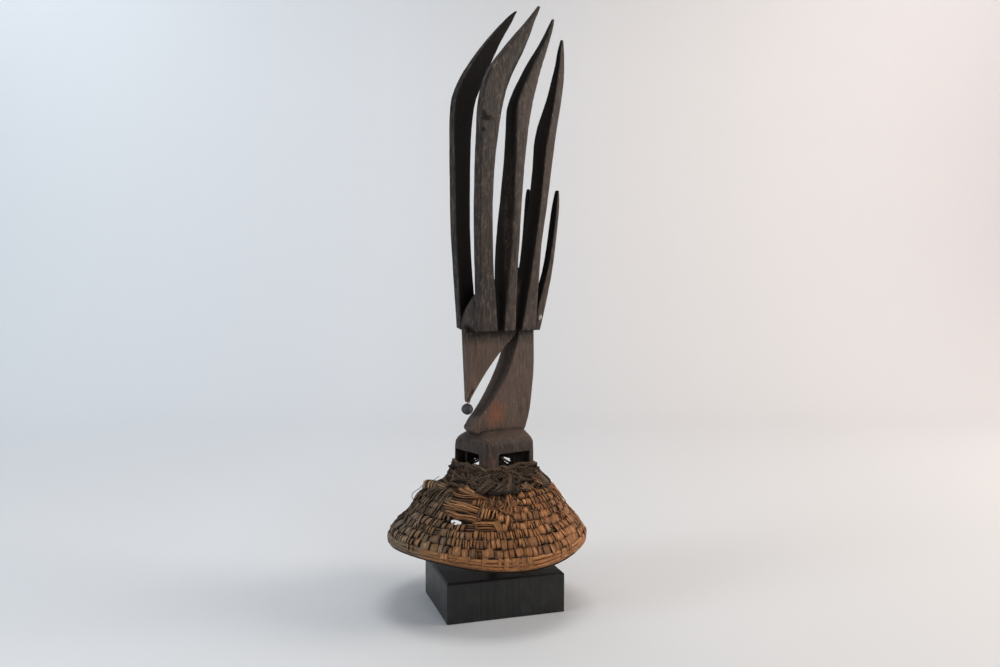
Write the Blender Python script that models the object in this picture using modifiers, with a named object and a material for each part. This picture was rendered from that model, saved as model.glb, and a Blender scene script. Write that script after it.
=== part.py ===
"""Chi wara headdress: one carved wooden antelope on a coiled straw cap, held up by a plain block.

Metres, +Z up. The origin is the centre of the block's underside. The carving faces -X and its
rows of horns lie on the -Y and +Y sides. Tables and sizes below are in millimetres.
"""

import math

import bmesh
import bpy
import numpy as np
from mathutils import Matrix, Vector

MM = 0.001
CLEARANCE = 0.3

# ---- driving sizes, in millimetres ----
BLOCK_SIZE = (127.5, 101.8, 42.4)
BLOCK_TURN_DEG = -18.7
BLOCK_CHAMFER = 2.0
POST_DIAMETER = 10.0
POST_IN_BLOCK = 24.0
POST_IN_BASE = 8.5

CAP_WALL = 4.6
CAP_ROW_PITCH = 8.9
CAP_ROW_BULGE = 1.5
CAP_CREST = 133.4
CAP_EDGE_WAVE = 4.0
CAP_EDGE_WAVE_TURN_DEG = 163.0
CAP_TOP_CENTRE = (2.4, -1.8)
CAP_BRIM_CENTRE = (-4.9, 3.5)

BASE_BOTTOM = 134.0
RAIL_TOP = 150.0
WINDOW_TOP = 168.0
HOLLOW_FLOOR = 143.5
CROWN_BOTTOM = 296.5
CORE_HALF_WIDTH = 17.5
CORE_FALL = 14.0
ARRIS = 0.8

BEAD_DIAMETER = 12.6
BEAD_CENTRE = (-33.0, 0.0, 213.9)
THREAD_DIAMETER = 1.0
THREAD_HOLES = ((-29.4, 232.0, 2.4), (-33.0, 229.0, 1.8))

# Each row of a table is one section. "front" and "back" are X, "outer" is the half width from the
# middle plane to the outer face, "thick" the depth from outer to inner face. The slants are how far
# the inner edges lie behind the outer ones, and "facet" is the cut on the outer back edge.
HORN_COLUMNS = ("height", "front", "back", "outer", "thick", "front_slant", "back_slant", "facet")
HORN_FIRST_NEAR = (
    (296.5, -31.0, -10.0, 24.0, 10.5, -1.0, 0.0, 0.8),
    (325, -32.0, -13.0, 25.0, 11.0, -1.0, 0.0, 0.8),
    (355, -34.0, -16.5, 26.0, 11.2, 0.0, 1.0, 0.8),
    (400, -36.0, -19.5, 28.0, 12.0, 0.0, 2.0, 0.8),
    (460, -36.0, -19.0, 29.5, 12.2, 0.0, 2.0, 0.8),
    (500, -35.7, -14.0, 30.5, 11.5, 0.5, 0.0, 2.0),
    (525, -35.2, -8.5, 31.0, 11.0, 0.8, -2.0, 5.0),
    (545, -32.0, -2.0, 31.0, 10.8, 1.3, -3.0, 8.0),
    (565, -23.8, 8.5, 30.0, 10.0, 1.5, -4.5, 9.4),
    (585, -7.0, 19.5, 29.1, 8.6, 0.0, -4.0, 7.0),
    (605, 11.5, 28.5, 27.4, 6.8, -1.0, -2.0, 3.0),
    (622, 26.5, 36.0, 25.6, 4.6, 0.0, 0.0, 0.8),
    (634, 36.5, 42.5, 24.1, 2.8, 0.0, 0.0, 0.6),
    (642, 43.6, 46.8, 22.9, 2.4, 0.0, 0.0, 0.4),
)
HORN_FIRST_FAR = (
    (296.5, -30.8, -10.0, 24.0, 10.5, -1.0, 0.0, 0.8),
    (325, -32.2, -13.0, 25.0, 11.0, -1.0, 0.0, 0.8),
    (355, -33.8, -16.5, 26.0, 11.2, 0.0, 1.0, 0.8),
    (400, -35.8, -19.5, 28.0, 12.0, 0.3, 2.0, 0.8),
    (460, -36.0, -18.5, 29.5, 12.2, 0.3, 2.0, 0.8),
    (500, -35.7, -14.5, 30.5, 11.5, 0.0, 0.0, 2.0),
    (525, -35.0, -9.5, 31.0, 11.0, 0.2, -2.0, 5.0),
    (545, -32.3, -4.0, 31.0, 10.8, 1.0, -3.0, 8.0),
    (565, -24.0, 6.7, 30.0, 10.0, 2.0, -4.5, 9.4),
    (585, -11.0, 16.0, 29.1, 8.6, 1.8, -4.0, 7.0),
    (605, 4.0, 24.5, 27.4, 6.8, 1.8, -2.0, 3.0),
    (622, 18.5, 32.5, 25.6, 5.0, 2.0, 0.0, 0.8),
    (636, 31.5, 41.5, 23.9, 3.6, 1.0, 0.0, 0.6),
    (644, 40.0, 46.0, 23.2, 2.4, 0.0, 0.0, 0.5),
    (649, 46.5, 49.0, 22.8, 1.6, 0.0, 0.0, 0.3),
)
HORN_SECOND = (
    (296.5, -2.0, 13.0, 24.0, 13.0, -4.0, 0.0, 0.8),
    (325, 0.0, 13.6, 25.0, 13.5, -6.4, -2.0, 0.8),
    (355, 3.5, 14.1, 26.1, 14.0, -10.4, -8.0, 0.8),
    (385, 6.0, 15.3, 27.4, 14.6, -12.4, -10.5, 0.8),
    (430, 7.0, 17.6, 28.8, 15.1, -8.6, -11.0, 0.8),
    (470, 8.3, 20.7, 29.7, 15.2, -5.6, -11.0, 0.8),
    (510, 8.8, 25.2, 30.7, 14.2, -4.4, -11.0, 0.8),
    (530, 9.5, 29.0, 31.0, 13.8, -4.0, -10.5, 0.8),
    (548, 15.8, 33.4, 31.0, 13.2, -3.2, -9.5, 0.8),
    (565, 25.0, 39.2, 30.3, 12.2, -3.0, -8.0, 0.8),
    (582, 34.7, 45.8, 29.3, 11.0, -2.2, -5.5, 0.8),
    (598, 45.0, 52.5, 28.0, 9.4, -1.0, -2.5, 0.8),
    (614, 53.5, 59.0, 26.5, 6.5, 0.0, -1.0, 0.8),
    (626, 59.5, 63.6, 25.2, 4.4, 0.0, 0.0, 0.5),
    (631.5, 62.5, 65.0, 24.4, 2.8, 0.0, 0.0, 0.4),
)
HORN_THIRD = (
    (296.5, 21.0, 41.0, 24.0, 12.0, -4.0, 0.0, 0.8),
    (325, 26.4, 42.0, 25.0, 13.0, -6.0, 0.0, 0.8),
    (355, 31.8, 43.4, 26.1, 14.0, -7.0, 0.0, 0.8),
    (388, 36.6, 45.4, 27.5, 14.6, -7.0, -3.0, 0.8),
    (430, 42.2, 51.8, 28.8, 15.1, -5.5, -5.0, 0.8),
    (470, 46.5, 57.2, 29.7, 15.0, -5.0, -5.0, 0.8),
    (495, 49.4, 60.6, 30.4, 14.4, -7.0, -5.0, 0.8),
    (515, 53.5, 63.8, 30.9, 13.6, -7.5, -5.0, 0.8),
    (532, 57.2, 67.2, 31.0, 12.6, -5.0, -5.0, 0.8),
    (550, 60.5, 70.8, 31.0, 11.6, -1.8, -5.0, 0.8),
    (568, 64.2, 73.8, 30.0, 10.2, -0.3, -4.5, 0.8),
    (585, 68.0, 75.6, 28.8, 8.0, 0.5, -3.0, 0.8),
    (600, 70.6, 76.2, 27.2, 5.0, 0.0, -1.0, 0.6),
    (611, 73.8, 76.2, 25.6, 2.2, 0.0, 0.0, 0.4),
)
HORN_EAR = (
    (296.5, 39.6, 46.2, 24.0, 15.0, 0.0, 0.0, 0.8),
    (320, 42.5, 52.3, 24.8, 12.6, 0.0, 0.0, 0.8),
    (340, 48.0, 57.0, 25.5, 10.6, 0.0, 0.0, 0.8),
    (360, 54.0, 61.0, 26.3, 10.0, 0.0, 0.0, 0.8),
    (385, 59.0, 64.4, 27.4, 10.0, 0.0, 0.0, 0.8),
    (410, 62.4, 67.2, 28.2, 9.9, 0.0, 0.0, 0.8),
    (432, 64.8, 69.0, 28.7, 8.2, 0.0, 0.0, 0.8),
    (443, 66.2, 69.3, 28.4, 6.4, 0.0, 0.0, 0.6),
    (448, 67.0, 69.3, 27.8, 4.6, 0.0, 0.0, 0.4),
)
EAR_FAR_RISE = 6.5
THIRD_FAR_RISE = -9.0

# The body above the shoulder: its curved front, its back and the half widths of both edges.
BODY_COLUMNS = ("height", "front", "back", "front_half", "back_half")
BODY = (
    (176, -6.0, 31.0, 13.0, 14.5),
    (181, -12.0, 31.5, 12.0, 13.8),
    (187, -25.0, 33.0, 9.5, 13.0),
    (191, -31.0, 35.5, 8.2, 12.8),
    (194, -32.6, 36.8, 8.2, 12.6),
    (198, -30.0, 38.5, 8.5, 12.5),
    (204, -25.0, 40.2, 9.2, 12.5),
    (211, -17.5, 41.8, 10.0, 12.5),
    (220, -10.0, 43.3, 11.0, 12.5),
    (230, -2.5, 44.6, 11.8, 12.5),
    (242, 5.5, 46.0, 12.5, 12.5),
    (255, 12.7, 47.0, 12.7, 12.5),
    (270, 18.8, 47.2, 12.7, 12.5),
    (285, 23.3, 47.0, 12.7, 12.5),
    (300, 26.5, 46.8, 12.7, 12.5),
)
# The head: a wedge in plan, thin along its front edge, that comes down to the snout.
HEAD = (
    (221.8, -35.0, -31.2, 1.8, 2.0),
    (225, -34.6, -30.0, 3.4, 3.6),
    (231, -34.4, -26.8, 4.2, 4.6),
    (249, -35.0, -15.0, 4.5, 6.5),
    (262, -35.8, -5.2, 4.5, 7.8),
    (274, -36.5, 5.0, 4.5, 9.0),
    (284, -37.0, 14.6, 4.6, 10.2),
    (292, -37.3, 23.0, 4.6, 11.2),
    (300, -37.5, 27.5, 4.6, 12.0),
)
# The base: a box with a rounded collar and a sloped shoulder. "corner" is the corner radius.
BASE_COLUMNS = ("height", "front", "back", "half", "corner")
BASE = (
    (BASE_BOTTOM, -30.6, 33.5, 30.6, 3.0),
    (150, -30.6, 33.5, 30.6, 3.0),
    (166, -30.8, 34.0, 30.8, 4.5),
    (172, -31.6, 35.0, 31.0, 7.0),
    (177, -32.0, 36.2, 31.1, 10.0),
    (181, -30.8, 35.6, 30.0, 12.0),
    (184, -28.2, 34.4, 27.2, 12.0),
    (187, -23.8, 32.8, 22.6, 10.0),
    (190, -18.0, 31.5, 16.0, 8.0),
)
# Openings of the pierced base: the side they pass through, their ends along it and their heights.
WINDOWS = (
    ("near", -14.0, 26.5, RAIL_TOP, WINDOW_TOP),
    ("front", -18.5, 26.0, RAIL_TOP, WINDOW_TOP),
    ("far", -9.0, 14.0, 145.0, 155.0),
    ("back", 1.5, 25.0, 144.0, 154.0),
)
# Top line of the crown between the two rows of horns, and the slanted notch at its front.
CROWN_TOP = ((-30.5, 299), (-22, 322), (-12, 342), (2, 350), (16, 356), (28, 366), (38, 362), (46, 348))
CROWN_NOTCH = ((21.5, 300.5), (7, 317), (-4, 326.4), (-15, 337.5))
CROWN_KEEL = -33.8
WALL_BACK = -18.6
# The far side of the crown's underside is worn upwards: Y, and height above the underside.
FAR_RIM_WEAR = ((6.0, -1.0), (36.0, -1.0), (36.0, 5.8), (10.0, 0.1))

# The straw cap, from its crest to its lower edge.
CAP_COLUMNS = ("height", "radius")
CAP_SIDE = (
    (CAP_CREST, 47.0),
    (131.5, 57.5),
    (125.5, 66.5),
    (117, 75.5),
    (110, 81.0),
    (104, 87.0),
    (98, 93.0),
    (91, 98.5),
    (84.5, 102.3),
    (77.5, 105.2),
    (71.5, 106.0),
)
# Dents of the cap: turn round the cap, height, half sizes along the row and up the side, depth.
# A depth below zero is a bulge.
CAP_DENTS = (
    (-150.0, 114.0, 19.0, 8.0, 2.6),
    (-122.0, 121.0, 24.0, 6.0, 2.2),
    (-36.0, 112.0, 20.0, 9.0, 1.6),
    (143.0, 102.0, 32.0, 9.0, 2.6),
    (146.0, 95.5, 34.0, 6.5, 5.4),
    (144.0, 122.0, 24.0, 11.0, -7.0),
    (40.0, 96.0, 30.0, 12.0, 2.0),
)
# The brim is lifted on one side: turn round the cap, half turn, height.
CAP_EDGE_LIFT = (160.0, 36.0, 3.2)
# Holes worn through the cap's side: turn, height, width along the row, height of the slot.
CAP_HOLES = (
    (-150.0, 107.0, 12.0, 4.4),
    (-83.0, 109.0, 2.6, 3.4),
)
STUB_RADIUS = 4.4
STUB_COLUMNS = ("turn", "radius", "height")
STUB_ROUTE = ((145.0, 74.0, 128.6), (150.0, 68.0, 129.0), (157.0, 61.0, 127.5), (166.0, 56.0, 125.0))

# The lower rail's reach to the front, to the back and to each side.
RAIL_REACH = (30.6, 33.5, 30.6)
LASHING_STEPS = 48
LASHING_SAG = 11.0
LASHING_SAG_TURN_DEG = 54.0
# The lashing is narrower towards one corner: turn, and the share of its reach that it loses.
LASHING_LEAN = (144.0, 0.4)
# The lashing, from its inner top edge round its outside to its underside: how far each ridge lies
# from the carving's side, and its height.
LASHING_RIDGES = (
    (0.4, 153.4),
    (2.4, 154.6),
    (3.6, 152.4),
    (3.0, 150.0),
    (5.0, 147.6),
    (4.6, 145.0),
    (8.2, 142.6),
    (8.6, 140.2),
    (13.4, 137.6),
    (17.0, 134.2),
)

COLOURS = {
    "stand_black": ((0.012, 0.012, 0.013), 0.42, 0.0),
    "post_steel": ((0.045, 0.045, 0.05), 0.4, 0.8),
    "straw": ((0.165, 0.09, 0.042), 0.82, 0.0),
    "dark_cord": ((0.05, 0.038, 0.03), 0.85, 0.0),
    "aged_wood": ((0.05, 0.036, 0.03), 0.5, 0.0),
    "thread": ((0.30, 0.19, 0.10), 0.8, 0.0),
    "bead_dark": ((0.02, 0.016, 0.018), 0.35, 0.0),
}


def start():
    """Clears the scene and returns the collections for the parts and for the cutters."""
    for old in list(bpy.data.objects):
        bpy.data.objects.remove(old, do_unlink=True)
    made = []
    for name in ("chi_wara_headdress", "cutters"):
        collection = bpy.data.collections.new(name)
        bpy.context.scene.collection.children.link(collection)
        made.append(collection)
    return made


PARTS, CUTTERS = start()


def material(name):
    colour, roughness, metallic = COLOURS[name]
    made = bpy.data.materials.new(name)
    made.use_nodes = True
    shader = made.node_tree.nodes["Principled BSDF"]
    shader.inputs["Base Color"].default_value = (*colour, 1.0)
    shader.inputs["Roughness"].default_value = roughness
    shader.inputs["Metallic"].default_value = metallic
    return made


def add_object(name, mesh, collection, finish=None):
    made = bpy.data.objects.new(name, mesh)
    collection.objects.link(made)
    if finish:
        mesh.materials.append(material(finish))
    if collection is CUTTERS:
        made.hide_render = True
        made.display_type = "WIRE"
    return made


def interpolate(table, heights):
    """Every column of a table at the given heights, on a smooth cubic through its rows."""
    rows = np.array(table, dtype=float)
    known = rows[:, 0]
    slope = np.gradient(rows, known, axis=0)
    place = np.clip(np.searchsorted(known, heights, side="right") - 1, 0, len(known) - 2)
    step = (known[place + 1] - known[place])[:, None]
    t = (heights - known[place])[:, None] / step
    out = (
        (2 * t**3 - 3 * t**2 + 1) * rows[place]
        + (t**3 - 2 * t**2 + t) * step * slope[place]
        + (-2 * t**3 + 3 * t**2) * rows[place + 1]
        + (t**3 - t**2) * step * slope[place + 1]
    )
    return out


def section_heights(table, steps):
    """The heights of a table's rows, with each gap between two rows cut into equal steps."""
    rows = [row[0] for row in table]
    cuts = [a + (b - a) * k / steps for a, b in zip(rows, rows[1:]) for k in range(steps)]
    return np.array(cuts + [rows[-1]])


def loft(name, rings, collection, finish=None, closed_rings=True):
    """A closed skin through rings of equal count, with flat ends, or a torus where it returns."""
    count = len(rings[0])
    verts = [tuple(p * MM for p in point) for ring in rings for point in ring]
    last = len(rings) - 1 if closed_rings else len(rings)
    faces = []
    for i in range(last):
        a = i * count
        b = ((i + 1) % len(rings)) * count
        faces += [(a + j, a + (j + 1) % count, b + (j + 1) % count, b + j) for j in range(count)]
    if closed_rings:
        faces.append(tuple(reversed(range(count))))
        faces.append(tuple(last * count + j for j in range(count)))
    mesh = bpy.data.meshes.new(name)
    mesh.from_pydata(verts, [], faces)
    work = bmesh.new()
    work.from_mesh(mesh)
    bmesh.ops.recalc_face_normals(work, faces=work.faces)
    bmesh.ops.triangulate(work, faces=work.faces)
    work.to_mesh(mesh)
    work.free()
    return add_object(name, mesh, collection, finish)


def cut_corners(corners, cuts):
    """A polygon with each corner replaced by two points, `cut` back along its two sides."""
    points = []
    corners = [Vector(c) for c in corners]
    for i, corner in enumerate(corners):
        before = corners[i - 1] - corner
        after = corners[(i + 1) % len(corners)] - corner
        back, ahead = cuts[i]
        points.append(corner + before * min(back / before.length, 0.45))
        points.append(corner + after * min(ahead / after.length, 0.45))
    return points


def box(name, low, high, collection, finish=None):
    mesh = bpy.data.meshes.new(name)
    work = bmesh.new()
    bmesh.ops.create_cube(work, size=1.0)
    size = [(high[k] - low[k]) * MM for k in range(3)]
    middle = [(high[k] + low[k]) / 2 * MM for k in range(3)]
    bmesh.ops.transform(work, matrix=Matrix.Translation(middle) @ Matrix.Diagonal((*size, 1.0)), verts=work.verts)
    work.to_mesh(mesh)
    work.free()
    return add_object(name, mesh, collection, finish)


def cylinder(name, diameter, start_at, end_at, sides, collection, finish=None):
    """A capped cylinder from one point to another."""
    start_at = Vector(start_at) * MM
    axis = Vector(end_at) * MM - start_at
    turn = axis.to_track_quat("Z", "Y").to_matrix().to_4x4()
    mesh = bpy.data.meshes.new(name)
    work = bmesh.new()
    bmesh.ops.create_cone(
        work,
        cap_ends=True,
        segments=sides,
        radius1=diameter / 2 * MM,
        radius2=diameter / 2 * MM,
        depth=axis.length,
        matrix=Matrix.Translation(start_at + axis / 2) @ turn,
    )
    work.to_mesh(mesh)
    work.free()
    return add_object(name, mesh, collection, finish)


def boolean(target, tool, operation):
    step = target.modifiers.new(f"{operation.lower()}_{tool.name}", "BOOLEAN")
    step.operation = operation
    step.solver = "EXACT"
    step.object = tool


def shade_round(target, degrees):
    target.data.shade_smooth()
    target.data.set_sharp_from_angle(angle=math.radians(degrees))


# ---- display block and hidden post ----
def make_block():
    length, width, height = BLOCK_SIZE
    block = box("display_block", (-length / 2, -width / 2, 0), (length / 2, width / 2, height), PARTS, "stand_black")
    block.data.transform(Matrix.Rotation(math.radians(BLOCK_TURN_DEG), 4, "Z"))
    edges = block.data.attributes.new("bevel_weight_edge", "FLOAT", "EDGE")
    top = height * MM - 1e-6
    for edge in block.data.edges:
        ends = [block.data.vertices[v].co.z for v in edge.vertices]
        edges.data[edge.index].value = 1.0 if min(ends) > top else 0.3
    bevel = block.modifiers.new("edges", "BEVEL")
    bevel.limit_method = "WEIGHT"
    bevel.width = BLOCK_CHAMFER * MM
    bevel.segments = 1
    socket = cylinder(
        "block_socket",
        POST_DIAMETER + 2 * CLEARANCE,
        (0, 0, height - POST_IN_BLOCK),
        (0, 0, height + 5),
        32,
        CUTTERS,
    )
    boolean(block, socket, "DIFFERENCE")


def make_post():
    low = BLOCK_SIZE[2] - POST_IN_BLOCK + CLEARANCE
    high = BASE_BOTTOM + POST_IN_BASE - CLEARANCE
    post = cylinder("mounting_post", POST_DIAMETER, (0, 0, low), (0, 0, high), 32, PARTS, "post_steel")
    shade_round(post, 40)


# ---- the carving ----
def make_horn(name, table, side, root, rise=0.0):
    """One horn: a four-sided section with cut edges, carried up its table. side is -1 or 1.

    root is how far it starts below the crown's underside, where one cut trims all of them.
    """
    rings = []
    for row in interpolate(table, section_heights(table, 2)):
        values = dict(zip(HORN_COLUMNS, row))
        share = (values["height"] - table[0][0]) / (table[-1][0] - table[0][0])
        outer = values["outer"]
        inner = outer - values["thick"]
        corners = (
            (values["front"], side * outer),
            (values["back"], side * outer),
            (values["back"] + values["back_slant"], side * inner),
            (values["front"] + values["front_slant"], side * inner),
        )
        small = min(ARRIS, values["thick"] * 0.25)
        facet = max(values["facet"], small)
        cuts = ((small, small), (facet, facet * 0.42), (small, small), (small, small))
        z = values["height"] + rise * share**2
        rings.append([(p.x, p.y, z) for p in cut_corners(corners, cuts)])
    rings.insert(0, [(x, y, z - root) for x, y, z in rings[0]])
    return loft(name, rings, CUTTERS)


def make_wedge(name, table):
    """A body or head: front and back edges with their own half widths, carried up its table."""
    rings = []
    for row in interpolate(table, section_heights(table, 2)):
        values = dict(zip(BODY_COLUMNS, row))
        corners = (
            (values["front"], -values["front_half"]),
            (values["back"], -values["back_half"]),
            (values["back"], values["back_half"]),
            (values["front"], values["front_half"]),
        )
        rings.append([(p.x, p.y, values["height"]) for p in cut_corners(corners, ((ARRIS, ARRIS),) * 4)])
    return loft(name, rings, CUTTERS)


def rounded_box(front, back, half, corner, steps=4):
    """Points of a rectangle with round corners, anticlockwise from its +X side."""
    points = []
    for quarter, (cx, cy) in enumerate(
        ((back - corner, half - corner), (front + corner, half - corner),
         (front + corner, corner - half), (back - corner, corner - half))
    ):
        for k in range(steps + 1):
            turn = math.radians(90 * (quarter + k / steps))
            points.append((cx + corner * math.cos(turn), cy + corner * math.sin(turn)))
    return points


def make_base():
    rings = []
    for row in BASE:
        values = dict(zip(BASE_COLUMNS, row))
        outline = rounded_box(values["front"], values["back"], values["half"], values["corner"])
        rings.append([(x, y, values["height"]) for x, y in outline])
    return loft("carved_base", rings, CUTTERS)


def make_crown():
    """The block that joins the horns: a rounded ridge between the rows and a slanted front wall."""
    rings = []
    for y in np.linspace(-CORE_HALF_WIDTH, CORE_HALF_WIDTH, 7):
        fall = CORE_FALL * abs(y / CORE_HALF_WIDTH) ** 3
        low = CROWN_BOTTOM - 2.0
        top = [(x, max(z - fall, low + 2.0)) for x, z in CROWN_TOP]
        outline = [(CROWN_TOP[-1][0], low), (CROWN_TOP[0][0], low)] + top
        rings.append([(x, y, z) for x, z in outline])
    ridge = loft("crown_ridge", rings, CUTTERS)
    notch = np.array(CROWN_NOTCH[::-1])
    rings = []
    for y in (-18.0, -15.0, -9.5, -4.0, -2.0, 7.0, 14.0, 21.0):
        keel = CROWN_KEEL + abs(y + 2.0) * 0.15
        top = float(np.interp(y, notch[:, 0], notch[:, 1]))
        low = CROWN_BOTTOM - 3.0
        rings.append([(keel, y, low), (WALL_BACK, y, low), (WALL_BACK, y, top), (keel, y, top)])
    return ridge, loft("crown_wall", rings, CUTTERS)


def make_windows():
    """Cutters for the pierced base, and for its hollow inside."""
    inset = 8.0
    front, back, half = -29.0, 34.0, 30.0
    lows = (front + inset, inset - half, HOLLOW_FLOOR)
    cutters = [box("base_hollow", lows, (back - inset, half - inset, WINDOW_TOP), CUTTERS)]
    reach = 12.0
    for side, begin, end, low, high in WINDOWS:
        if side in ("near", "far"):
            sign = -1 if side == "near" else 1
            ys = sorted((sign * (half + reach), sign * (half - inset - 2)))
            lows, highs = (begin, ys[0], low), (end, ys[1], high)
        else:
            xs = (front - reach, front + inset + 2) if side == "front" else (back - inset - 2, back + reach)
            lows, highs = (xs[0], begin, low), (xs[1], end, high)
        cutters.append(box(f"window_{side}", lows, highs, CUTTERS))
    return cutters


def make_carving():
    carving, wall = make_crown()
    carving.name = "wood_carving"
    CUTTERS.objects.unlink(carving)
    PARTS.objects.link(carving)
    carving.hide_render = False
    carving.display_type = "TEXTURED"
    carving.data.materials.append(material("aged_wood"))
    joined = [wall]
    for side, tag, first in ((-1, "near", HORN_FIRST_NEAR), (1, "far", HORN_FIRST_FAR)):
        ear_rise, third_rise = (EAR_FAR_RISE, THIRD_FAR_RISE) if side > 0 else (0.0, 0.0)
        joined.append(make_horn(f"horn_first_{tag}", first, side, 4.0))
        joined.append(make_horn(f"horn_second_{tag}", HORN_SECOND, side, 5.0))
        joined.append(make_horn(f"horn_third_{tag}", HORN_THIRD, side, 6.0, third_rise))
        joined.append(make_horn(f"ear_{tag}", HORN_EAR, side, 7.0, ear_rise))
    for piece in joined:
        boolean(carving, piece, "UNION")
    boolean(carving, box("crown_underside", (-60, -50, 270), (80, 50, CROWN_BOTTOM), CUTTERS), "DIFFERENCE")
    worn = [[(x, y, CROWN_BOTTOM + up) for y, up in FAR_RIM_WEAR] for x in (-60.0, 80.0)]
    boolean(carving, loft("far_rim_wear", worn, CUTTERS), "DIFFERENCE")
    for piece in (make_wedge("body", BODY), make_wedge("head", HEAD), make_base()):
        boolean(carving, piece, "UNION")
    cuts = make_windows()
    cuts.append(
        cylinder(
            "carving_socket",
            POST_DIAMETER + 2 * CLEARANCE,
            (0, 0, BASE_BOTTOM - 5),
            (0, 0, BASE_BOTTOM + POST_IN_BASE),
            32,
            CUTTERS,
        )
    )
    for x, z, diameter in THREAD_HOLES:
        cuts.append(cylinder(f"thread_hole_{abs(int(x))}", diameter, (x, -12, z), (x, 12, z), 12, CUTTERS))
    for cutter in cuts:
        boolean(carving, cutter, "DIFFERENCE")


# ---- straw cap ----
def cap_centre(height):
    """The cap leans: its middle shifts evenly from the crest to the brim."""
    share = np.clip((CAP_CREST - height) / (CAP_CREST - 100.0), 0.0, 1.0)
    return [a + (b - a) * share for a, b in zip(CAP_TOP_CENTRE, CAP_BRIM_CENTRE)]


def cap_point(turn, height, radius):
    """A point of the cap, with the wave of its brim growing towards the lower edge."""
    droop = np.clip((110.0 - height) / 40.0, 0.0, 1.0) ** 2
    wave = CAP_EDGE_WAVE * math.cos(3 * (turn + math.radians(CAP_EDGE_WAVE_TURN_DEG)))
    middle, half_turn, lift = CAP_EDGE_LIFT
    away = (math.degrees(turn) - middle + 180) % 360 - 180
    wave += lift * math.exp(-1.5 * (away / half_turn) ** 2)
    cx, cy = cap_centre(height)
    return (cx + radius * math.cos(turn), cy + radius * math.sin(turn), height + wave * droop)


def dent_depth(turn, height):
    """How far the side is pushed in at one place, the sum of smooth round dents."""
    depth = 0.0
    for middle, level, half_turn, half_height, deepest in CAP_DENTS:
        away = (math.degrees(turn) - middle + 180) % 360 - 180
        reach = (away / half_turn) ** 2 + ((height - level) / half_height) ** 2
        depth += deepest * math.exp(-1.5 * reach)
    return depth


def make_cap():
    """Outer side in ribbed rows, a round lower edge, a plain inner side and a closed crest."""
    turns = [2 * math.pi * k / 48 for k in range(48)]
    rows = np.array(CAP_SIDE, dtype=float)
    travelled = np.concatenate(([0.0], np.cumsum(np.hypot(*np.diff(rows, axis=0).T))))
    row_count = round(travelled[-1] / CAP_ROW_PITCH)
    profile = []
    for k in range(3 * row_count + 1):
        along = travelled[-1] * k / (3 * row_count)
        height = np.interp(along, travelled, rows[:, 0])
        radius = np.interp(along, travelled, rows[:, 1])
        profile.append((height, radius + CAP_ROW_BULGE * math.sin(math.pi * k / 3) ** 2))
    edge_height, edge_radius = rows[-1]
    profile.append((edge_height - 3.4, edge_radius - 1.0))
    profile.append((edge_height - 4.4, edge_radius - CAP_WALL * 0.6))
    profile.append((edge_height - 2.0, edge_radius - CAP_WALL - 0.6))
    for share in np.linspace(0.0, 1.0, 7):
        along = travelled[-1] * (1 - share)
        height = np.interp(along, travelled, rows[:, 0]) - CAP_WALL * 0.62
        radius = np.interp(along, travelled, rows[:, 1]) - CAP_WALL * 0.86
        profile.append((height, radius))
    hole = POST_DIAMETER / 2 + 1.0
    profile += [(CAP_CREST - CAP_WALL, 30.0), (CAP_CREST - CAP_WALL, hole), (CAP_CREST, hole), (CAP_CREST, 30.0)]
    rings = []
    for turn in turns:
        ring = []
        for height, radius in profile:
            if radius < 29:
                ring.append((radius * math.cos(turn), radius * math.sin(turn), height))
                continue
            pushed = dent_depth(turn, height) if height > 80 and radius > 50 else 0.0
            ring.append(cap_point(turn, height, radius - pushed))
        rings.append(ring)
    cap = loft("basket_cap", rings, PARTS, "straw", closed_rings=False)
    boolean(cap, make_stub(), "UNION")
    for place in CAP_HOLES:
        boolean(cap, make_cap_hole(*place), "DIFFERENCE")
    shade_round(cap, 60)


def make_stub():
    """The broken end of a coil that stands up from the cap's shoulder."""
    route = np.array([cap_point(math.radians(turn), height, radius) for turn, radius, height in STUB_ROUTE])
    rings = []
    steps = 10
    along = np.linspace(0, len(route) - 1, steps)
    centres = np.stack([np.interp(along, range(len(route)), route[:, k]) for k in range(3)], axis=1)
    for k, centre in enumerate(centres):
        ahead = Vector(centres[min(k + 1, steps - 1)] - centres[max(k - 1, 0)]).normalized()
        side = ahead.cross(Vector((0, 0, 1))).normalized()
        up = side.cross(ahead)
        radius = STUB_RADIUS * (0.8 if k in (0, steps - 1) else 1.0)
        ring = []
        for j in range(10):
            turn = 2 * math.pi * j / 10
            ring.append(tuple(Vector(centre) + (side * math.cos(turn) + up * math.sin(turn)) * radius))
        rings.append(ring)
    return loft("broken_coil", rings, CUTTERS)


def make_cap_hole(turn_deg, level, width, tall):
    """A flat slot through the cap's side where splints are missing."""
    turn = math.radians(turn_deg)
    out = Vector((math.cos(turn), math.sin(turn), 0))
    along = Vector((-math.sin(turn), math.cos(turn), 0))
    centre = Vector(cap_centre(level)).to_3d()
    rings = []
    for radius in (66.0, 100.0):
        ring = []
        for j in range(12):
            angle = 2 * math.pi * j / 12
            spot = centre + out * radius + along * (width / 2 * math.cos(angle))
            ring.append((spot.x, spot.y, level + tall / 2 * math.sin(angle)))
        rings.append(ring)
    return loft(f"cap_hole_{abs(round(turn_deg))}", rings, CUTTERS)


# ---- cord lashing ----
def rail_reach(turn):
    """Distance from the axis to the lashing's inner side, a rectangle just clear of the rail."""
    cos, sin = math.cos(turn), math.sin(turn)
    front, back, half = (size + CLEARANCE for size in RAIL_REACH)
    along_x = (back if cos > 0 else front) / max(abs(cos), 1e-6)
    return min(along_x, half / max(abs(sin), 1e-6))


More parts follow.
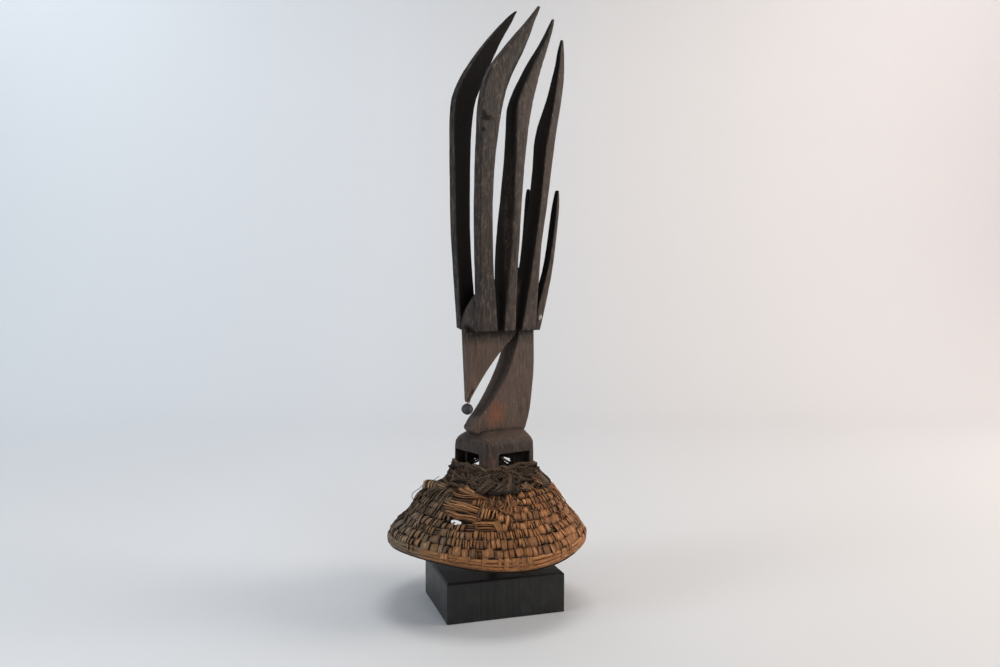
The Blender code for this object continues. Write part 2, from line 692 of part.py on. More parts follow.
def lashing_turns():
    """Even steps round the rail, with the steps nearest its corners moved onto them."""
    front, back, half = (size + CLEARANCE for size in RAIL_REACH)
    turns = [2 * math.pi * k / LASHING_STEPS for k in range(LASHING_STEPS)]
    for x, y in ((back, half), (-front, half), (-front, -half), (back, -half)):
        corner = math.atan2(y, x) % (2 * math.pi)
        nearest = round(corner / (2 * math.pi) * LASHING_STEPS)
        turns[nearest] = corner
    return turns


def make_lashing():
    """Ridges of cord round the rail, spreading over the cap's shoulder, lower on the far side."""
    rings = []
    low = CAP_CREST + 0.5
    for turn in lashing_turns():
        inner = rail_reach(turn)
        facing = np.clip((math.cos(turn - math.radians(LASHING_SAG_TURN_DEG)) - 0.1) / 0.6, 0.0, 1.0)
        sag = LASHING_SAG * facing * facing * (3 - 2 * facing)
        lean_turn, lean_share = LASHING_LEAN
        kept = 1.0 - lean_share * max(math.cos(turn - math.radians(lean_turn)), 0.0)
        ring = []
        for widest, height in LASHING_RIDGES:
            reach = widest * kept
            spread = np.clip((150.0 - height) / 16.0, 0.0, 1.0)
            skirt = max(41.0 + reach * 1.18, inner + 4.0)
            radius = (inner + reach) * (1 - spread) + skirt * spread
            ring.append((radius * math.cos(turn), radius * math.sin(turn), height - sag * (1 - spread)))
        ring.append((48.5 * math.cos(turn), 48.5 * math.sin(turn), low))
        ring.append((inner * math.cos(turn), inner * math.sin(turn), low))
        rings.append(ring)
    lashing = loft("cord_lashing", rings, PARTS, "dark_cord", closed_rings=False)
    shade_round(lashing, 60)


# ---- bead and thread ----
def make_bead():
    mesh = bpy.data.meshes.new("snout_bead")
    work = bmesh.new()
    bmesh.ops.create_uvsphere(work, u_segments=14, v_segments=9, radius=BEAD_DIAMETER / 2 * MM)
    bmesh.ops.translate(work, vec=Vector(BEAD_CENTRE) * MM, verts=work.verts)
    work.to_mesh(mesh)
    work.free()
    bead = add_object("snout_bead", mesh, PARTS, "bead_dark")
    x, y, z = BEAD_CENTRE
    bore = cylinder("bead_bore", THREAD_DIAMETER + 1.2, (x, y, z - 9), (x, y, z + 9), 12, CUTTERS)
    boolean(bead, bore, "DIFFERENCE")
    shade_round(bead, 35)


def make_thread():
    """One loop down the snout's near side, through the bead's top and up the far side."""
    x_hole, z_hole, _ = THREAD_HOLES[0]
    x, _, z = BEAD_CENTRE
    top = z + BEAD_DIAMETER / 2
    route = [
        (x, 0.0, z + 1.0),
        (x, 0.0, top + 0.65),
        (x, -3.4, top + 0.8),
        (x + 0.8, -5.0, top + 5.0),
        (x + 2.0, -5.7, top + 8.6),
        (x_hole, -6.0, z_hole - 1.2),
        (x_hole, -5.5, z_hole),
        (x_hole, 0.0, z_hole),
        (x_hole, 5.5, z_hole),
        (x_hole, 5.8, z_hole - 2.6),
    ]
    curve = bpy.data.curves.new("thread_route", "CURVE")
    curve.dimensions = "3D"
    curve.bevel_depth = THREAD_DIAMETER / 2 * MM
    curve.bevel_resolution = 2
    curve.use_fill_caps = True
    spline = curve.splines.new("POLY")
    spline.points.add(len(route) - 1)
    for point, place in zip(spline.points, route):
        point.co = (*[v * MM for v in place], 1.0)
    guide = bpy.data.objects.new("thread_route", curve)
    CUTTERS.objects.link(guide)
    bpy.context.view_layer.update()
    evaluated = guide.evaluated_get(bpy.context.evaluated_depsgraph_get())
    mesh = bpy.data.meshes.new_from_object(evaluated)
    mesh.name = "snout_thread"
    mesh.materials.clear()
    work = bmesh.new()
    work.from_mesh(mesh)
    bmesh.ops.remove_doubles(work, verts=work.verts, dist=1e-6)
    work.to_mesh(mesh)
    work.free()
    thread = add_object("snout_thread", mesh, PARTS, "thread")
    shade_round(thread, 50)
    bpy.data.objects.remove(guide, do_unlink=True)


make_block()
make_post()
make_carving()
make_cap()
make_lashing()
make_bead()
make_thread()
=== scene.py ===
"""A chi wara headdress: an antelope carving tied to a straw cap, on a post in a black block.

Sizes inside a section are in millimetres and become metres where a mesh is made.
The animal faces -X, its near side is -Y and up is +Z.
"""
import math

import bmesh
import bpy
import numpy as np
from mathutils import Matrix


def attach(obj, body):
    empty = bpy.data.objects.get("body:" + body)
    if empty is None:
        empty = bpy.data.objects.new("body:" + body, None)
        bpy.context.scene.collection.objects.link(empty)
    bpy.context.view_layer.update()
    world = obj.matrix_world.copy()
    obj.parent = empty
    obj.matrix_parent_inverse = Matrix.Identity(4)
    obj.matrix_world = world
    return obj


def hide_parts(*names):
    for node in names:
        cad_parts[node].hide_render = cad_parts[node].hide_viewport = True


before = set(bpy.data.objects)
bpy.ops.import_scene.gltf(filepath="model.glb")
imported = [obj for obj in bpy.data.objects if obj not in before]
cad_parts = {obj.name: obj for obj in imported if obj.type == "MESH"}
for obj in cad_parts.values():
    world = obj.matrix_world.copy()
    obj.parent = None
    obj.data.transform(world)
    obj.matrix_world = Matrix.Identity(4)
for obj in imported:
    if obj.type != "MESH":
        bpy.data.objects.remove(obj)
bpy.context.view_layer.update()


# ---- Camera ----
# It stands a little above the middle of the headdress, in front of it and on its near side.
camera = bpy.data.objects.new("camera", bpy.data.cameras.new("camera"))
camera.location = (-0.5364, -0.7518, 0.3366)
camera.rotation_euler = (math.radians(87.3), 0.0, math.radians(-36.0))
camera.data.lens = 30.92
camera.data.sensor_width = 36.0
bpy.context.scene.collection.objects.link(camera)
bpy.context.scene.camera = camera


# ---- Snout thread and bead ----
# A waxed cotton thread of two plies runs through the hole in the snout and holds one bead.
# The bead is a dark seed, drilled from top to bottom and left lumpy.
def directions(spine, reference):
    """Unit vectors for paths of points: across is reference x tangent, outward is tangent x across."""
    tangent = np.gradient(spine, axis=-2)
    tangent /= np.linalg.norm(tangent, axis=-1, keepdims=True)
    across = np.cross(reference, tangent)
    across /= np.linalg.norm(across, axis=-1, keepdims=True)
    return across, np.cross(tangent, across)


def run_along(spine):
    """The distance from the first point of each path to every point of it."""
    step = np.linalg.norm(np.diff(spine, axis=1), axis=-1)
    return np.concatenate((np.zeros((len(spine), 1)), np.cumsum(step, axis=1)), axis=1)


def surface(name, points, faces):
    """A smooth mesh in the scene, made from points in millimetres and lists of point numbers."""
    mesh = bpy.data.meshes.new(name)
    mesh.from_pydata((points.reshape(-1, 3) * 0.001).tolist(), [], faces)
    mesh.polygons.foreach_set("use_smooth", np.ones(len(mesh.polygons), dtype=bool))
    made = bpy.data.objects.new(name, mesh)
    bpy.context.scene.collection.objects.link(made)
    return made


def strips(name, spine, across, outward, half_width, half_thick, sides=6, square=1.0, tone_and_shade=0.5, warmth=0.0):
    """Closed strips: spine + across w cos(a) + outward t sin(a), with cos and sin raised to the power
    square so that 1 is an oval and less is a flat band, and a flat face on both ends. The tone carries
    painted shade: it falls off towards the sides and underneath."""
    spine = np.asarray(spine, dtype=float)
    shape = (*spine.shape[:2], sides)
    turn = 2 * np.pi * np.arange(sides) / sides
    wide = np.sign(np.cos(turn).round(9)) * np.abs(np.cos(turn)) ** square
    high = np.sign(np.sin(turn).round(9)) * np.abs(np.sin(turn)) ** square
    w = np.broadcast_to(half_width, shape[:2])[..., None] * wide
    t = np.broadcast_to(half_thick, shape[:2])[..., None] * high
    points = spine[:, :, None] + across[:, :, None] * w[..., None] + outward[:, :, None] * t[..., None]
    index = np.arange(w.size).reshape(shape)
    after = np.roll(index, -1, axis=2)
    quads = np.stack((index[:, :-1], after[:, :-1], after[:, 1:], index[:, 1:]), axis=-1).reshape(-1, 4)
    ends = np.concatenate((index[:, 0, ::-1], index[:, -1]))
    made = surface(name, points, quads.tolist() + ends.tolist())

    def spread(value):
        """A value given for each strip, or for each station along it, at every point."""
        value = np.asarray(value, dtype=float)
        return np.broadcast_to(value.reshape(value.shape + (1,) * (3 - value.ndim)), shape)

    grain = np.stack((w, spread(run_along(spine)), spread(7.31 * np.arange(shape[0]))), axis=-1)
    made.data.attributes.new("grain", "FLOAT_VECTOR", "POINT").data.foreach_set("vector", np.ravel(grain))
    # Painted shade: each strip is darkest on its sides and underneath and lightest on top.
    painted_side_shade = np.clip(0.14 + 0.86 * np.maximum(high, 0) ** 2, 0.1, 1)
    for label, value in (("tone_and_shade", spread(tone_and_shade) * painted_side_shade), ("warmth", spread(warmth))):
        made.data.attributes.new(label, "FLOAT", "POINT").data.foreach_set("value", np.ravel(value))
    return made


def smooth_path(corners, count):
    """A Catmull-Rom curve through the corners, at even steps of the parameter."""
    p = np.asarray(corners, dtype=float)
    p = np.concatenate((2 * p[:1] - p[1:2], p, 2 * p[-1:] - p[-2:-1]))
    at = np.linspace(0, len(p) - 3, count)
    k = np.minimum(at.astype(int), len(p) - 4)
    f = (at - k)[:, None]
    a, b, c, d = p[k], p[k + 1], p[k + 2], p[k + 3]
    return 0.5 * (2 * b + (c - a) * f + (2 * a - 5 * b + 4 * c - d) * f**2 + (3 * b - a - 3 * c + d) * f**3)


def lattice_noise(points, size, seed):
    """Smooth noise from -1 to 1: the eight corner values of a cell, blended by a smooth step."""
    cells = np.asarray(points, dtype=float) / size
    low = np.floor(cells)
    part = cells - low
    part = part * part * (3 - 2 * part)
    total = np.zeros(cells.shape[:-1])
    for corner in np.ndindex(2, 2, 2):
        at = low + corner
        value = np.modf(np.abs(np.sin(at @ (12.9898, 78.233, 37.719) + seed * 4.137)) * 43758.5453)[0]
        total += value * np.prod(np.where(corner, part, 1 - part), axis=-1)
    return total * 2 - 1


def new_material(name, roughness, specular=0.5):
    """A material with its node tree and its shader."""
    made = bpy.data.materials.new(name)
    made.use_nodes = True
    shader = made.node_tree.nodes["Principled BSDF"]
    shader.inputs["Roughness"].default_value = roughness
    shader.inputs["Specular IOR Level"].default_value = specular
    return made, made.node_tree, shader


def node(tree, kind, inputs=(), **settings):
    """One shader node, with its settings and the values or links of its inputs."""
    made = tree.nodes.new(kind)
    for key, value in settings.items():
        setattr(made, key, value)
    for key, value in dict(inputs).items():
        if isinstance(value, bpy.types.NodeSocket):
            tree.links.new(value, made.inputs[key])
        else:
            made.inputs[key].default_value = value
    return made


def object_place(tree):
    """The place on the object, in metres."""
    return node(tree, "ShaderNodeTexCoord").outputs["Object"]


def carried(tree, name, output="Fac"):
    """What the mesh carries under this name at each point."""
    return node(tree, "ShaderNodeAttribute", attribute_name=name).outputs[output]


def scaled(tree, place, scale, turn=0.0):
    """A place turned about Z and stretched."""
    inputs = {"Vector": place, "Scale": scale, "Rotation": (0.0, 0.0, turn)}
    return node(tree, "ShaderNodeMapping", inputs).outputs["Vector"]


def mottle(tree, place, scale, detail, roughness=0.5, output="Fac"):
    """Cloudy noise at a place."""
    inputs = {"Vector": place, "Scale": scale, "Detail": detail, "Roughness": roughness}
    return node(tree, "ShaderNodeTexNoise", inputs).outputs[output]


def worked(tree, operation, *values):
    """Arithmetic on values."""
    return node(tree, "ShaderNodeMath", enumerate(values), operation=operation).outputs["Value"]


def placed(tree, operation, *values, output="Vector"):
    """Arithmetic on places."""
    return node(tree, "ShaderNodeVectorMath", enumerate(values), operation=operation).outputs[output]


def ramp(tree, source, stops):
    """A colour ramp with its stops given as (place, grey or colour)."""
    made = node(tree, "ShaderNodeValToRGB", {"Fac": source})
    elements = made.color_ramp.elements
    while len(elements) < len(stops):
        elements.new(0.5)
    for element, (place, colour) in zip(elements, stops):
        element.position = place
        element.color = (*(colour if hasattr(colour, "__len__") else (colour,) * 3), 1.0)
    return made.outputs["Color"]


def layered(tree, under, over, share, **settings):
    """The colour under, with the colour over laid on it by its share."""
    over = over if isinstance(over, bpy.types.NodeSocket) else (*over, 1.0)
    inputs = {"Factor": share, "A": under, "B": over}
    return node(tree, "ShaderNodeMix", inputs, data_type="RGBA", **settings).outputs["Result"]


def painted(tree, shader, colour, roughness=None):
    """Link the colour, and the roughness where it varies, to the shader."""
    tree.links.new(colour, shader.inputs["Base Color"])
    if roughness:
        tree.links.new(roughness, shader.inputs["Roughness"])


def bump(tree, shader, height, distance, strength=1.0):
    """Raise the surface by a height pattern, in metres at its brightest."""
    made = node(tree, "ShaderNodeBump", {"Height": height, "Distance": distance, "Strength": strength})
    tree.links.new(made.outputs["Normal"], shader.inputs["Normal"])


def fixed(made, finish, stands_for=None):
    """Give a piece its material and fix it to the body, in the place of a plain solid if it has one."""
    made.data.materials.clear()
    made.data.materials.append(finish)
    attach(made, "root")
    if stands_for:
        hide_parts(stands_for)


thread_path = smooth_path([
    (-29.4, 5.8, 229.4), (-29.4, 5.5, 232.0), (-29.4, 0.0, 232.0), (-29.4, -5.5, 232.0),
    (-29.4, -6.0, 230.8), (-31.0, -5.7, 228.8), (-32.2, -5.0, 225.2), (-33.0, -3.4, 221.0),
    (-33.0, 0.0, 220.85), (-33.0, 0.0, 214.9)
], 90)
laid_thread = thread_path[None]
snout_thread = strips("thread", laid_thread, *directions(laid_thread, (1.0, 0.0, 0.0)), 0.5, 0.5, 8)
waxed_thread, tree, shader = new_material("waxed_thread", 0.6)
ply = scaled(tree, carried(tree, "grain", "Vector"), (1.2, 0.9, 1.0), 0.7)
plies = node(tree, "ShaderNodeTexWave", {"Vector": ply, "Scale": 1.6, "Distortion": 1.0}).outputs["Fac"]
painted(tree, shader, ramp(tree, plies, [(0.0, (0.11, 0.04, 0.014)), (1.0, (0.46, 0.19, 0.065))]))
bump(tree, shader, plies, 0.0002)
fixed(snout_thread, waxed_thread, "snout_thread")


def grid_surface(name, grid, closed_u=True, closed_v=True):
    """A grid of points as one smooth mesh, joined to itself along each closed direction."""
    index = np.arange(grid[..., 0].size).reshape(grid.shape[:2])
    u = index if closed_u else index[:-1]
    below = np.roll(index, -1, axis=0)[: len(u)]
    quads = np.stack((u, below, np.roll(below, -1, axis=1), np.roll(u, -1, axis=1)), axis=-1)
    if not closed_v:
        quads = quads[:, :-1]
    return surface(name, grid, quads.reshape(-1, 4).tolist())


bead_radius, bead_half_height, bead_bore, bead_middle = 6.2, 5.9, 1.15, (-33.0, 0.0, 213.9)
round_bead, round_side = (2 * np.pi * np.arange(count) / count for count in (64, 40))
bead_turn, bead_side = np.meshgrid(round_bead, round_side, indexing="ij")
bead_reach = np.maximum(bead_radius * np.cos(bead_side), bead_bore)
bead_grid = np.stack((bead_reach * np.cos(bead_turn), bead_reach * np.sin(bead_turn),
                      bead_half_height * np.sin(bead_side)), axis=-1)
lumps = 0.55 * lattice_noise(bead_grid, 3.1, 4) + 0.3 * lattice_noise(bead_grid, 1.4, 9)
lumps *= np.maximum(np.cos(bead_side), 0)
bead_grid[..., :2] *= (1 + lumps / np.maximum(bead_reach, 1.5))[..., None]
bead_grid += bead_middle
bead = grid_surface("seed_bead", bead_grid)
dark_seed, tree, shader = new_material("dark_seed", 0.38)
blotch = mottle(tree, object_place(tree), 420.0, 4.0)
seed_colour = ramp(tree, blotch, [(0.3, (0.012, 0.010, 0.011)), (0.62, (0.05, 0.04, 0.044)),
                                  (0.8, (0.13, 0.11, 0.12))])
painted(tree, shader, seed_colour, ramp(tree, blotch, [(0.3, 0.42), (0.8, 0.7)]))
bump(tree, shader, blotch, 0.0004)
fixed(bead, dark_seed, "snout_bead")


# ---- Floor and lights ----
# A pale seamless sheet runs under the block and curves up behind it. A cool soft light stands on
# the animal's front side, warm ones on its near side, and a wide one hangs above.
bend_start, bend_reach = 1.3, 0.9


def sweep_height(back):
    """The sheet is flat, then a quarter circle, then upright."""
    bend = np.clip((back - bend_start) / bend_reach, 0, 1)
    past = back - bend_start - bend_reach
    return np.where(past < 0, bend_reach * (1 - np.sqrt(1 - bend**2)), bend_reach + past * 3.0)


side_way, back_way = np.meshgrid(np.linspace(-4, 4, 33), np.linspace(-2.4, 3.2, 113), indexing="ij")
away = np.minimum(back_way, bend_start + bend_reach)
towards = math.radians(36.0)
floor_grid = np.stack((
    side_way * math.cos(towards) + away * math.sin(towards),
    -side_way * math.sin(towards) + away * math.cos(towards),
    sweep_height(back_way) - 0.0003,
), axis=-1) * 1000
floor = grid_surface("studio_sheet", floor_grid, closed_u=False, closed_v=False)
paper, tree, shader = new_material("paper_sheet", 0.9, 0.2)
place = object_place(tree)
# Painted light on the sheet: lighter and cooler to the left, darker in the middle behind the headdress,
# warmer to the right, as the lamps fall on it.
sideways = placed(tree, "DOT_PRODUCT", place, (0.202, -0.147, 0.0), output="Value")
painted_light_across_sheet = worked(tree, "MULTIPLY_ADD", mottle(tree, place, 3.0, 2.0), 0.02, sideways)
painted(tree, shader, ramp(tree, worked(tree, "ADD", painted_light_across_sheet, 0.49), [
    (0.4, (0.88, 0.905, 0.935)), (0.5, (0.82, 0.83, 0.84)), (0.62, (0.85, 0.83, 0.82)),
    (0.9, (0.845, 0.81, 0.8))]))
bump(tree, shader, mottle(tree, place, 900.0, 3.0), 0.0002, 0.4)
floor.data.materials.append(paper)


def soft_light(name, place, aim, size, power, colour):
    """A square area light at place, turned to face aim."""
    lamp = bpy.data.lights.new(name, "AREA")
    lamp.shape = "SQUARE"
    lamp.size = size
    lamp.energy = power
    lamp.color = colour
    made = bpy.data.objects.new(name, lamp)
    made.location = place
    way = np.asarray(place, dtype=float) - np.asarray(aim, dtype=float)
    flat = math.hypot(way[0], way[1])
    made.rotation_euler = (math.atan2(flat, way[2]), 0.0, math.atan2(way[1], way[0]) + math.pi / 2)
    bpy.context.scene.collection.objects.link(made)


soft_light("cool_side", (-1.9, 0.25, 0.75), (0, 0, 0.3), 0.8, 15.0, (0.84, 0.93, 1.0))
soft_light("warm_side", (1.75, -1.35, 1.0), (0, 0, 0.3), 1.2, 33.0, (1.0, 0.92, 0.84))
soft_light("near_fill", (-0.25, -2.0, 0.8), (0, 0, 0.2), 0.7, 6.0, (1.0, 0.93, 0.86))
soft_light("overhead", (0.1, -0.1, 2.2), (0, 0, 0.2), 1.0, 12.5, (1.0, 0.98, 0.95))
soft_light("sheet_cool", (-0.831, 2.088, 1.7), (-0.063, 2.89, 0.9), 1.6, 11.0, (0.84, 0.93, 1.0))
soft_light("sheet_warm", (2.243, -0.146, 1.7), (2.768, 0.832, 0.9), 1.6, 11.0, (1.0, 0.94, 0.91))
world = bpy.data.worlds.new("room")
world.use_nodes = True
world.node_tree.nodes["Background"].inputs["Color"].default_value = (0.86, 0.9, 1.0, 1.0)
world.node_tree.nodes["Background"].inputs["Strength"].default_value = 0.16
bpy.context.scene.world = world
bpy.context.scene.view_settings.view_transform = "Standard"


# ---- Block and post ----
# A solid block sprayed satin black, with a little lighter dust on it, carries a steel post
# that runs up through the cap into the carving's base.
satin_black, tree, shader = new_material("satin_black", 0.42, 0.3)
place = object_place(tree)
brushed = mottle(tree, scaled(tree, place, (1.0, 1.0, 0.06)), 420.0, 4.0)
dust = mottle(tree, place, 60.0, 8.0, 0.7)
streaks = ramp(tree, brushed, [(0.3, (0.012, 0.012, 0.012)), (0.7, (0.021, 0.0205, 0.02))])
dusty = layered(tree, streaks, (0.06, 0.06, 0.06), ramp(tree, dust, [(0.5, 0.0), (0.85, 0.5)]))
painted(tree, shader, dusty, ramp(tree, dust, [(0.3, 0.36), (0.8, 0.55)]))
bump(tree, shader, brushed, 0.00012, 0.6)
bpy.data.objects["display_block"].material_slots[0].material = satin_black

post_steel, tree, shader = new_material("blackened_steel", 0.4)
turned = mottle(tree, scaled(tree, object_place(tree), (0.2, 0.2, 1.0)), 900.0, 3.0)
painted(tree, shader, ramp(tree, turned, [(0.3, (0.03, 0.03, 0.032)), (0.7, (0.1, 0.1, 0.1))]))
shader.inputs["Metallic"].default_value = 0.8
bump(tree, shader, turned, 0.0001)
bpy.data.objects["mounting_post"].material_slots[0].material = post_steel


# ---- Wood carving ----
# One piece of hardwood cut with an adze and knife, blackened and oiled. Its arrises are rubbed
# lighter and carry a painted highlight, soot and painted shade darken its hollows, and handling
# has worn the flanks brown.
shoulder_top, crown_foot = 184.0, 297.0
arris_angle = math.radians(33)


def closed_copy(source, name):
    """A copy of a node's mesh with its loose triangles joined."""
    work = bmesh.new()
    work.from_mesh(bpy.data.objects[source].data)
    bmesh.ops.remove_doubles(work, verts=work.verts, dist=1e-6)
    mesh = bpy.data.meshes.new(name)
    work.to_mesh(mesh)
    work.free()
    made = bpy.data.objects.new(name, mesh)
    bpy.context.scene.collection.objects.link(made)
    return made


def fine_faces(made, longest, beside_arris):
    """Cut every edge longer than this in two, again and again, finer beside the arrises."""
    work = bmesh.new()
    work.from_mesh(made.data)
    bmesh.ops.triangulate(work, faces=work.faces)
    for _ in range(12):
        arris = {end for edge in work.edges if edge.calc_face_angle(0.0) > arris_angle for end in edge.verts}
        long_edges = [edge for edge in work.edges
                      if edge.calc_length() > (longest if arris.isdisjoint(edge.verts) else beside_arris)]
        if not long_edges:
            break
        bmesh.ops.subdivide_edges(work, edges=long_edges, cuts=1)
        bmesh.ops.triangulate(work, faces=[face for face in work.faces if len(face.verts) > 3])
    work.to_mesh(made.data)
    work.free()


def mesh_arrays(mesh):
    """Points, normals and edges of a mesh as arrays, in millimetres."""
    points, normals = np.empty((2, len(mesh.vertices), 3))
    mesh.vertices.foreach_get("co", points.reshape(-1))
    mesh.vertices.foreach_get("normal", normals.reshape(-1))
    edges = np.empty((len(mesh.edges), 2), dtype=np.int64)
    mesh.edges.foreach_get("vertices", edges.reshape(-1))
    return points * 1000, normals, edges


def neighbour_mean(values, edges, times=1):
    """The mean of each point's neighbours along the edges, taken a number of times."""
    one, other = np.concatenate((edges, edges[:, ::-1])).T
    count = np.maximum(np.bincount(one, minlength=len(values)), 1)
    flat = values.reshape(len(values), -1)
    for _ in range(times):
        sums = [np.bincount(one, weights=column[other], minlength=len(values)) for column in flat.T]
        flat = np.stack(sums, axis=1) / count[:, None]
    return flat.reshape(values.shape)


def shelter(points, normals, cell):
    """How much wood stands opposite each point: the points counted in cubes, blurred, and read at
    three distances along the normal."""
    low = points.min(axis=0) - 12 * cell
    size = np.ceil((points.max(axis=0) - low) / cell).astype(int) + 12
    flat = np.ravel_multi_index(((points - low) / cell).astype(int).T, size)
    dense = np.bincount(flat, minlength=int(np.prod(size))).reshape(size).astype(float)
    for axis in (0, 1, 2, 0, 1, 2):
        dense = (np.roll(dense, 1, axis) + dense + np.roll(dense, -1, axis)) / 3
    total = np.zeros(len(points))
    for distance, share in ((9, 1.0), (15, 0.8), (22, 0.6)):
        at = ((points + normals * distance - low) / cell).astype(int)
        total += share * dense[tuple(np.clip(at, 0, size - 1).T)]
    return total / np.percentile(dense[dense > 0.05], 97)


def rising(value, start, over):
    """0 up to start, then 1 once it is past by over."""
    return np.clip((value - start) / over, 0, 1)


carving = closed_copy("wood_carving", "antelope_carving")
fine_faces(carving, 0.0042, 0.0026)
carving.data.set_sharp_from_angle(angle=arris_angle)
points, normals, edges = mesh_arrays(carving.data)
sharp = np.zeros(len(edges), dtype=bool)
carving.data.attributes["sharp_edge"].data.foreach_get("value", sharp)
bend = np.einsum("ij,ij->i", points - neighbour_mean(points, edges, 3), normals)
crease = np.clip(-bend / 0.35, 0, 1)
crease = 0.5 * crease + 0.5 * neighbour_mean(crease, edges)
arris = np.zeros(len(points))
arris[edges[sharp]] = 1.0
# Wear and painted highlight: the convex arrises are marked to be drawn lighter, as rubbed wood that also
# catches the light.
wear_and_highlight = np.where(bend > 0.02, arris, 0.0) + 0.35 * np.clip(bend / 0.3, 0, 1)
# Painted shade where other wood stands close opposite a point.
sheltered = neighbour_mean(shelter(points, normals, 3.0), edges, 4)
# Soot and painted shade gather between the two rows, on the fronts of the later horns and in every crease.
height, side = points[:, 2], np.sign(points[:, 1])
above = rising(height, crown_foot, 5)
inward = rising(-normals[:, 1] * side, 0.3, 0.3) * above
forward = rising(-normals[:, 0], 0.3, 0.3) * above
second_front = np.interp(height, (296.5, 385, 530, 565, 598, 631), (-2.0, 6.0, 9.5, 25.0, 45.0, 62.5))
third_front = np.interp(height, (296.5, 388, 470, 532, 568, 611), (21.0, 36.6, 46.5, 57.2, 64.2, 73.8))
behind_second, behind_third = (points[:, 0] > front - 14 for front in (second_front, third_front))
# Painted shadow: the fronts of the horns behind the second and third horns are darkened as if shaded by the
# horn in front.
forward *= np.where(behind_third, 0.8, np.where(behind_second, 0.3, 0.0))
soot_and_shade = rising(sheltered, 0.10, 0.28) * np.where(height > crown_foot - 1, 0.9, 0.25)
# Painted shade in the low creases, and darker below the shoulder.
low_crease = crease * (height < crown_foot + 33)
for more in (0.9 * inward, forward, 0.6 * low_crease, 0.2 * rising(-height, -shoulder_top - 4, 8)):
    soot_and_shade = 1 - (1 - soot_and_shade) * (1 - more)
stroke = points * (1.0, 1.0, 0.28)
cuts = 0.16 * lattice_noise(stroke, 5.0, 3) + 0.08 * lattice_noise(stroke, 2.2, 5)
cuts += 0.05 * lattice_noise(points * (1.0, 1.0, 0.12), 1.3, 8)
cuts -= 0.3 * arris * np.clip(lattice_noise(points, 6.0, 12) + 0.2, 0, 1)
points = points + normals * cuts[:, None]
handled = (0.3 + 0.7 * rising(height, shoulder_top - 6, 6)) * rising(-height, 5 - crown_foot, 12)
handled = np.maximum(handled, 0.35 * rising(points[:, 0], second_front + 3, 6) * above)
carving.data.vertices.foreach_set("co", (points * 0.001).reshape(-1))
carving.data.polygons.foreach_set("use_smooth", np.ones(len(carving.data.polygons), dtype=bool))
for label, value in (("wear_and_highlight", wear_and_highlight), ("handled", handled), ("soot_and_shade", soot_and_shade)):
    carving.data.attributes.new(label, "FLOAT", "POINT").data.foreach_set("value", value)

wood, tree, shader = new_material("oiled_dark_wood", 0.5, 0.22)
place = object_place(tree)
tall = scaled(tree, place, (1.0, 1.0, 0.4))
grain = mottle(tree, scaled(tree, place, (1.0, 1.0, 0.07)), 620.0, 5.0, 0.7)
patches = mottle(tree, tall, 34.0, 6.0, 0.65)
flecks = mottle(tree, tall, 270.0, 6.0, 0.75)
colour = ramp(tree, patches, [(0.3, (0.020, 0.0155, 0.013)), (0.5, (0.036, 0.0265, 0.021)),
                              (0.7, (0.06, 0.042, 0.032))])
colour = layered(tree, colour, (0.008, 0.006, 0.005), ramp(tree, grain, [(0.38, 0.85), (0.6, 0.0)]))
colour = layered(tree, colour, (0.13, 0.095, 0.075), ramp(tree, flecks, [(0.5, 0.0), (0.7, 0.85)]))
# Hands have rubbed the head and the boot browner.
browned = worked(tree, "MULTIPLY", carried(tree, "handled"), ramp(tree, patches, [(0.3, 0.35), (0.65, 0.8)]))
colour = layered(tree, colour, (0.13, 0.086, 0.066), browned)
colour = layered(tree, colour, (0.016, 0.011, 0.009), ramp(tree, grain, [(0.36, 0.45), (0.5, 0.0)]))
# Wear and painted highlight: the marked arrises are lightened, broken up by the flecks.
edge = worked(tree, "MULTIPLY", carried(tree, "wear_and_highlight"), flecks)
colour = layered(tree, colour, (0.27, 0.215, 0.18), ramp(tree, edge, [(0.22, 0.0), (0.56, 0.8)]))
# A red-brown patch on the near side of the boot with a greenish scuff behind it, a reddish rub on
# the base's corner, and a pale nick at the crown's back edge.
sway = np.array((0.016, 0.016, 0.02))
smear = mottle(tree, tall, 120.0, 5.0, 0.7, "Color")
moved = placed(tree, "MULTIPLY_ADD", smear, sway, place)
spotted = ramp(tree, flecks, [(0.38, 0.4), (0.6, 1.0)])
for middle, reach, most, stain in (((-0.002, -0.0145, 0.2070), 0.018, 1.0, (0.24, 0.08, 0.036)),
                                   ((0.012, -0.0145, 0.2060), 0.010, 0.8, (0.075, 0.075, 0.042)),
                                   ((-0.0255, -0.031, 0.160), 0.010, 0.7, (0.09, 0.035, 0.02)),
                                   ((0.045, -0.024, 0.310), 0.0035, 1.0, (0.7, 0.66, 0.6))):
    offset = placed(tree, "SUBTRACT", moved, middle + sway / 2)
    far = placed(tree, "LENGTH", offset, output="Value")
    share = worked(tree, "MULTIPLY", ramp(tree, far, [(0.0, most), (reach, 0.0)]), spotted)
    colour = layered(tree, colour, stain, share)
# Soot and painted shade: the marked places are darkened nearly to black.
carried_soot_and_shade = carried(tree, "soot_and_shade")
soot_and_shade_darkening = ramp(tree, carried_soot_and_shade, [(0.12, 0.0), (0.6, 0.75), (1.0, 1.0)])
colour = layered(tree, colour, (0.006, 0.0045, 0.0035), soot_and_shade_darkening)
dullness = ramp(tree, worked(tree, "ADD", patches, carried_soot_and_shade), [(0.3, 0.42), (0.7, 0.6), (1.0, 0.8)])
painted(tree, shader, colour, dullness)
bump(tree, shader, grain, 0.0003, 0.8)
fixed(carving, wood, "wood_carving")


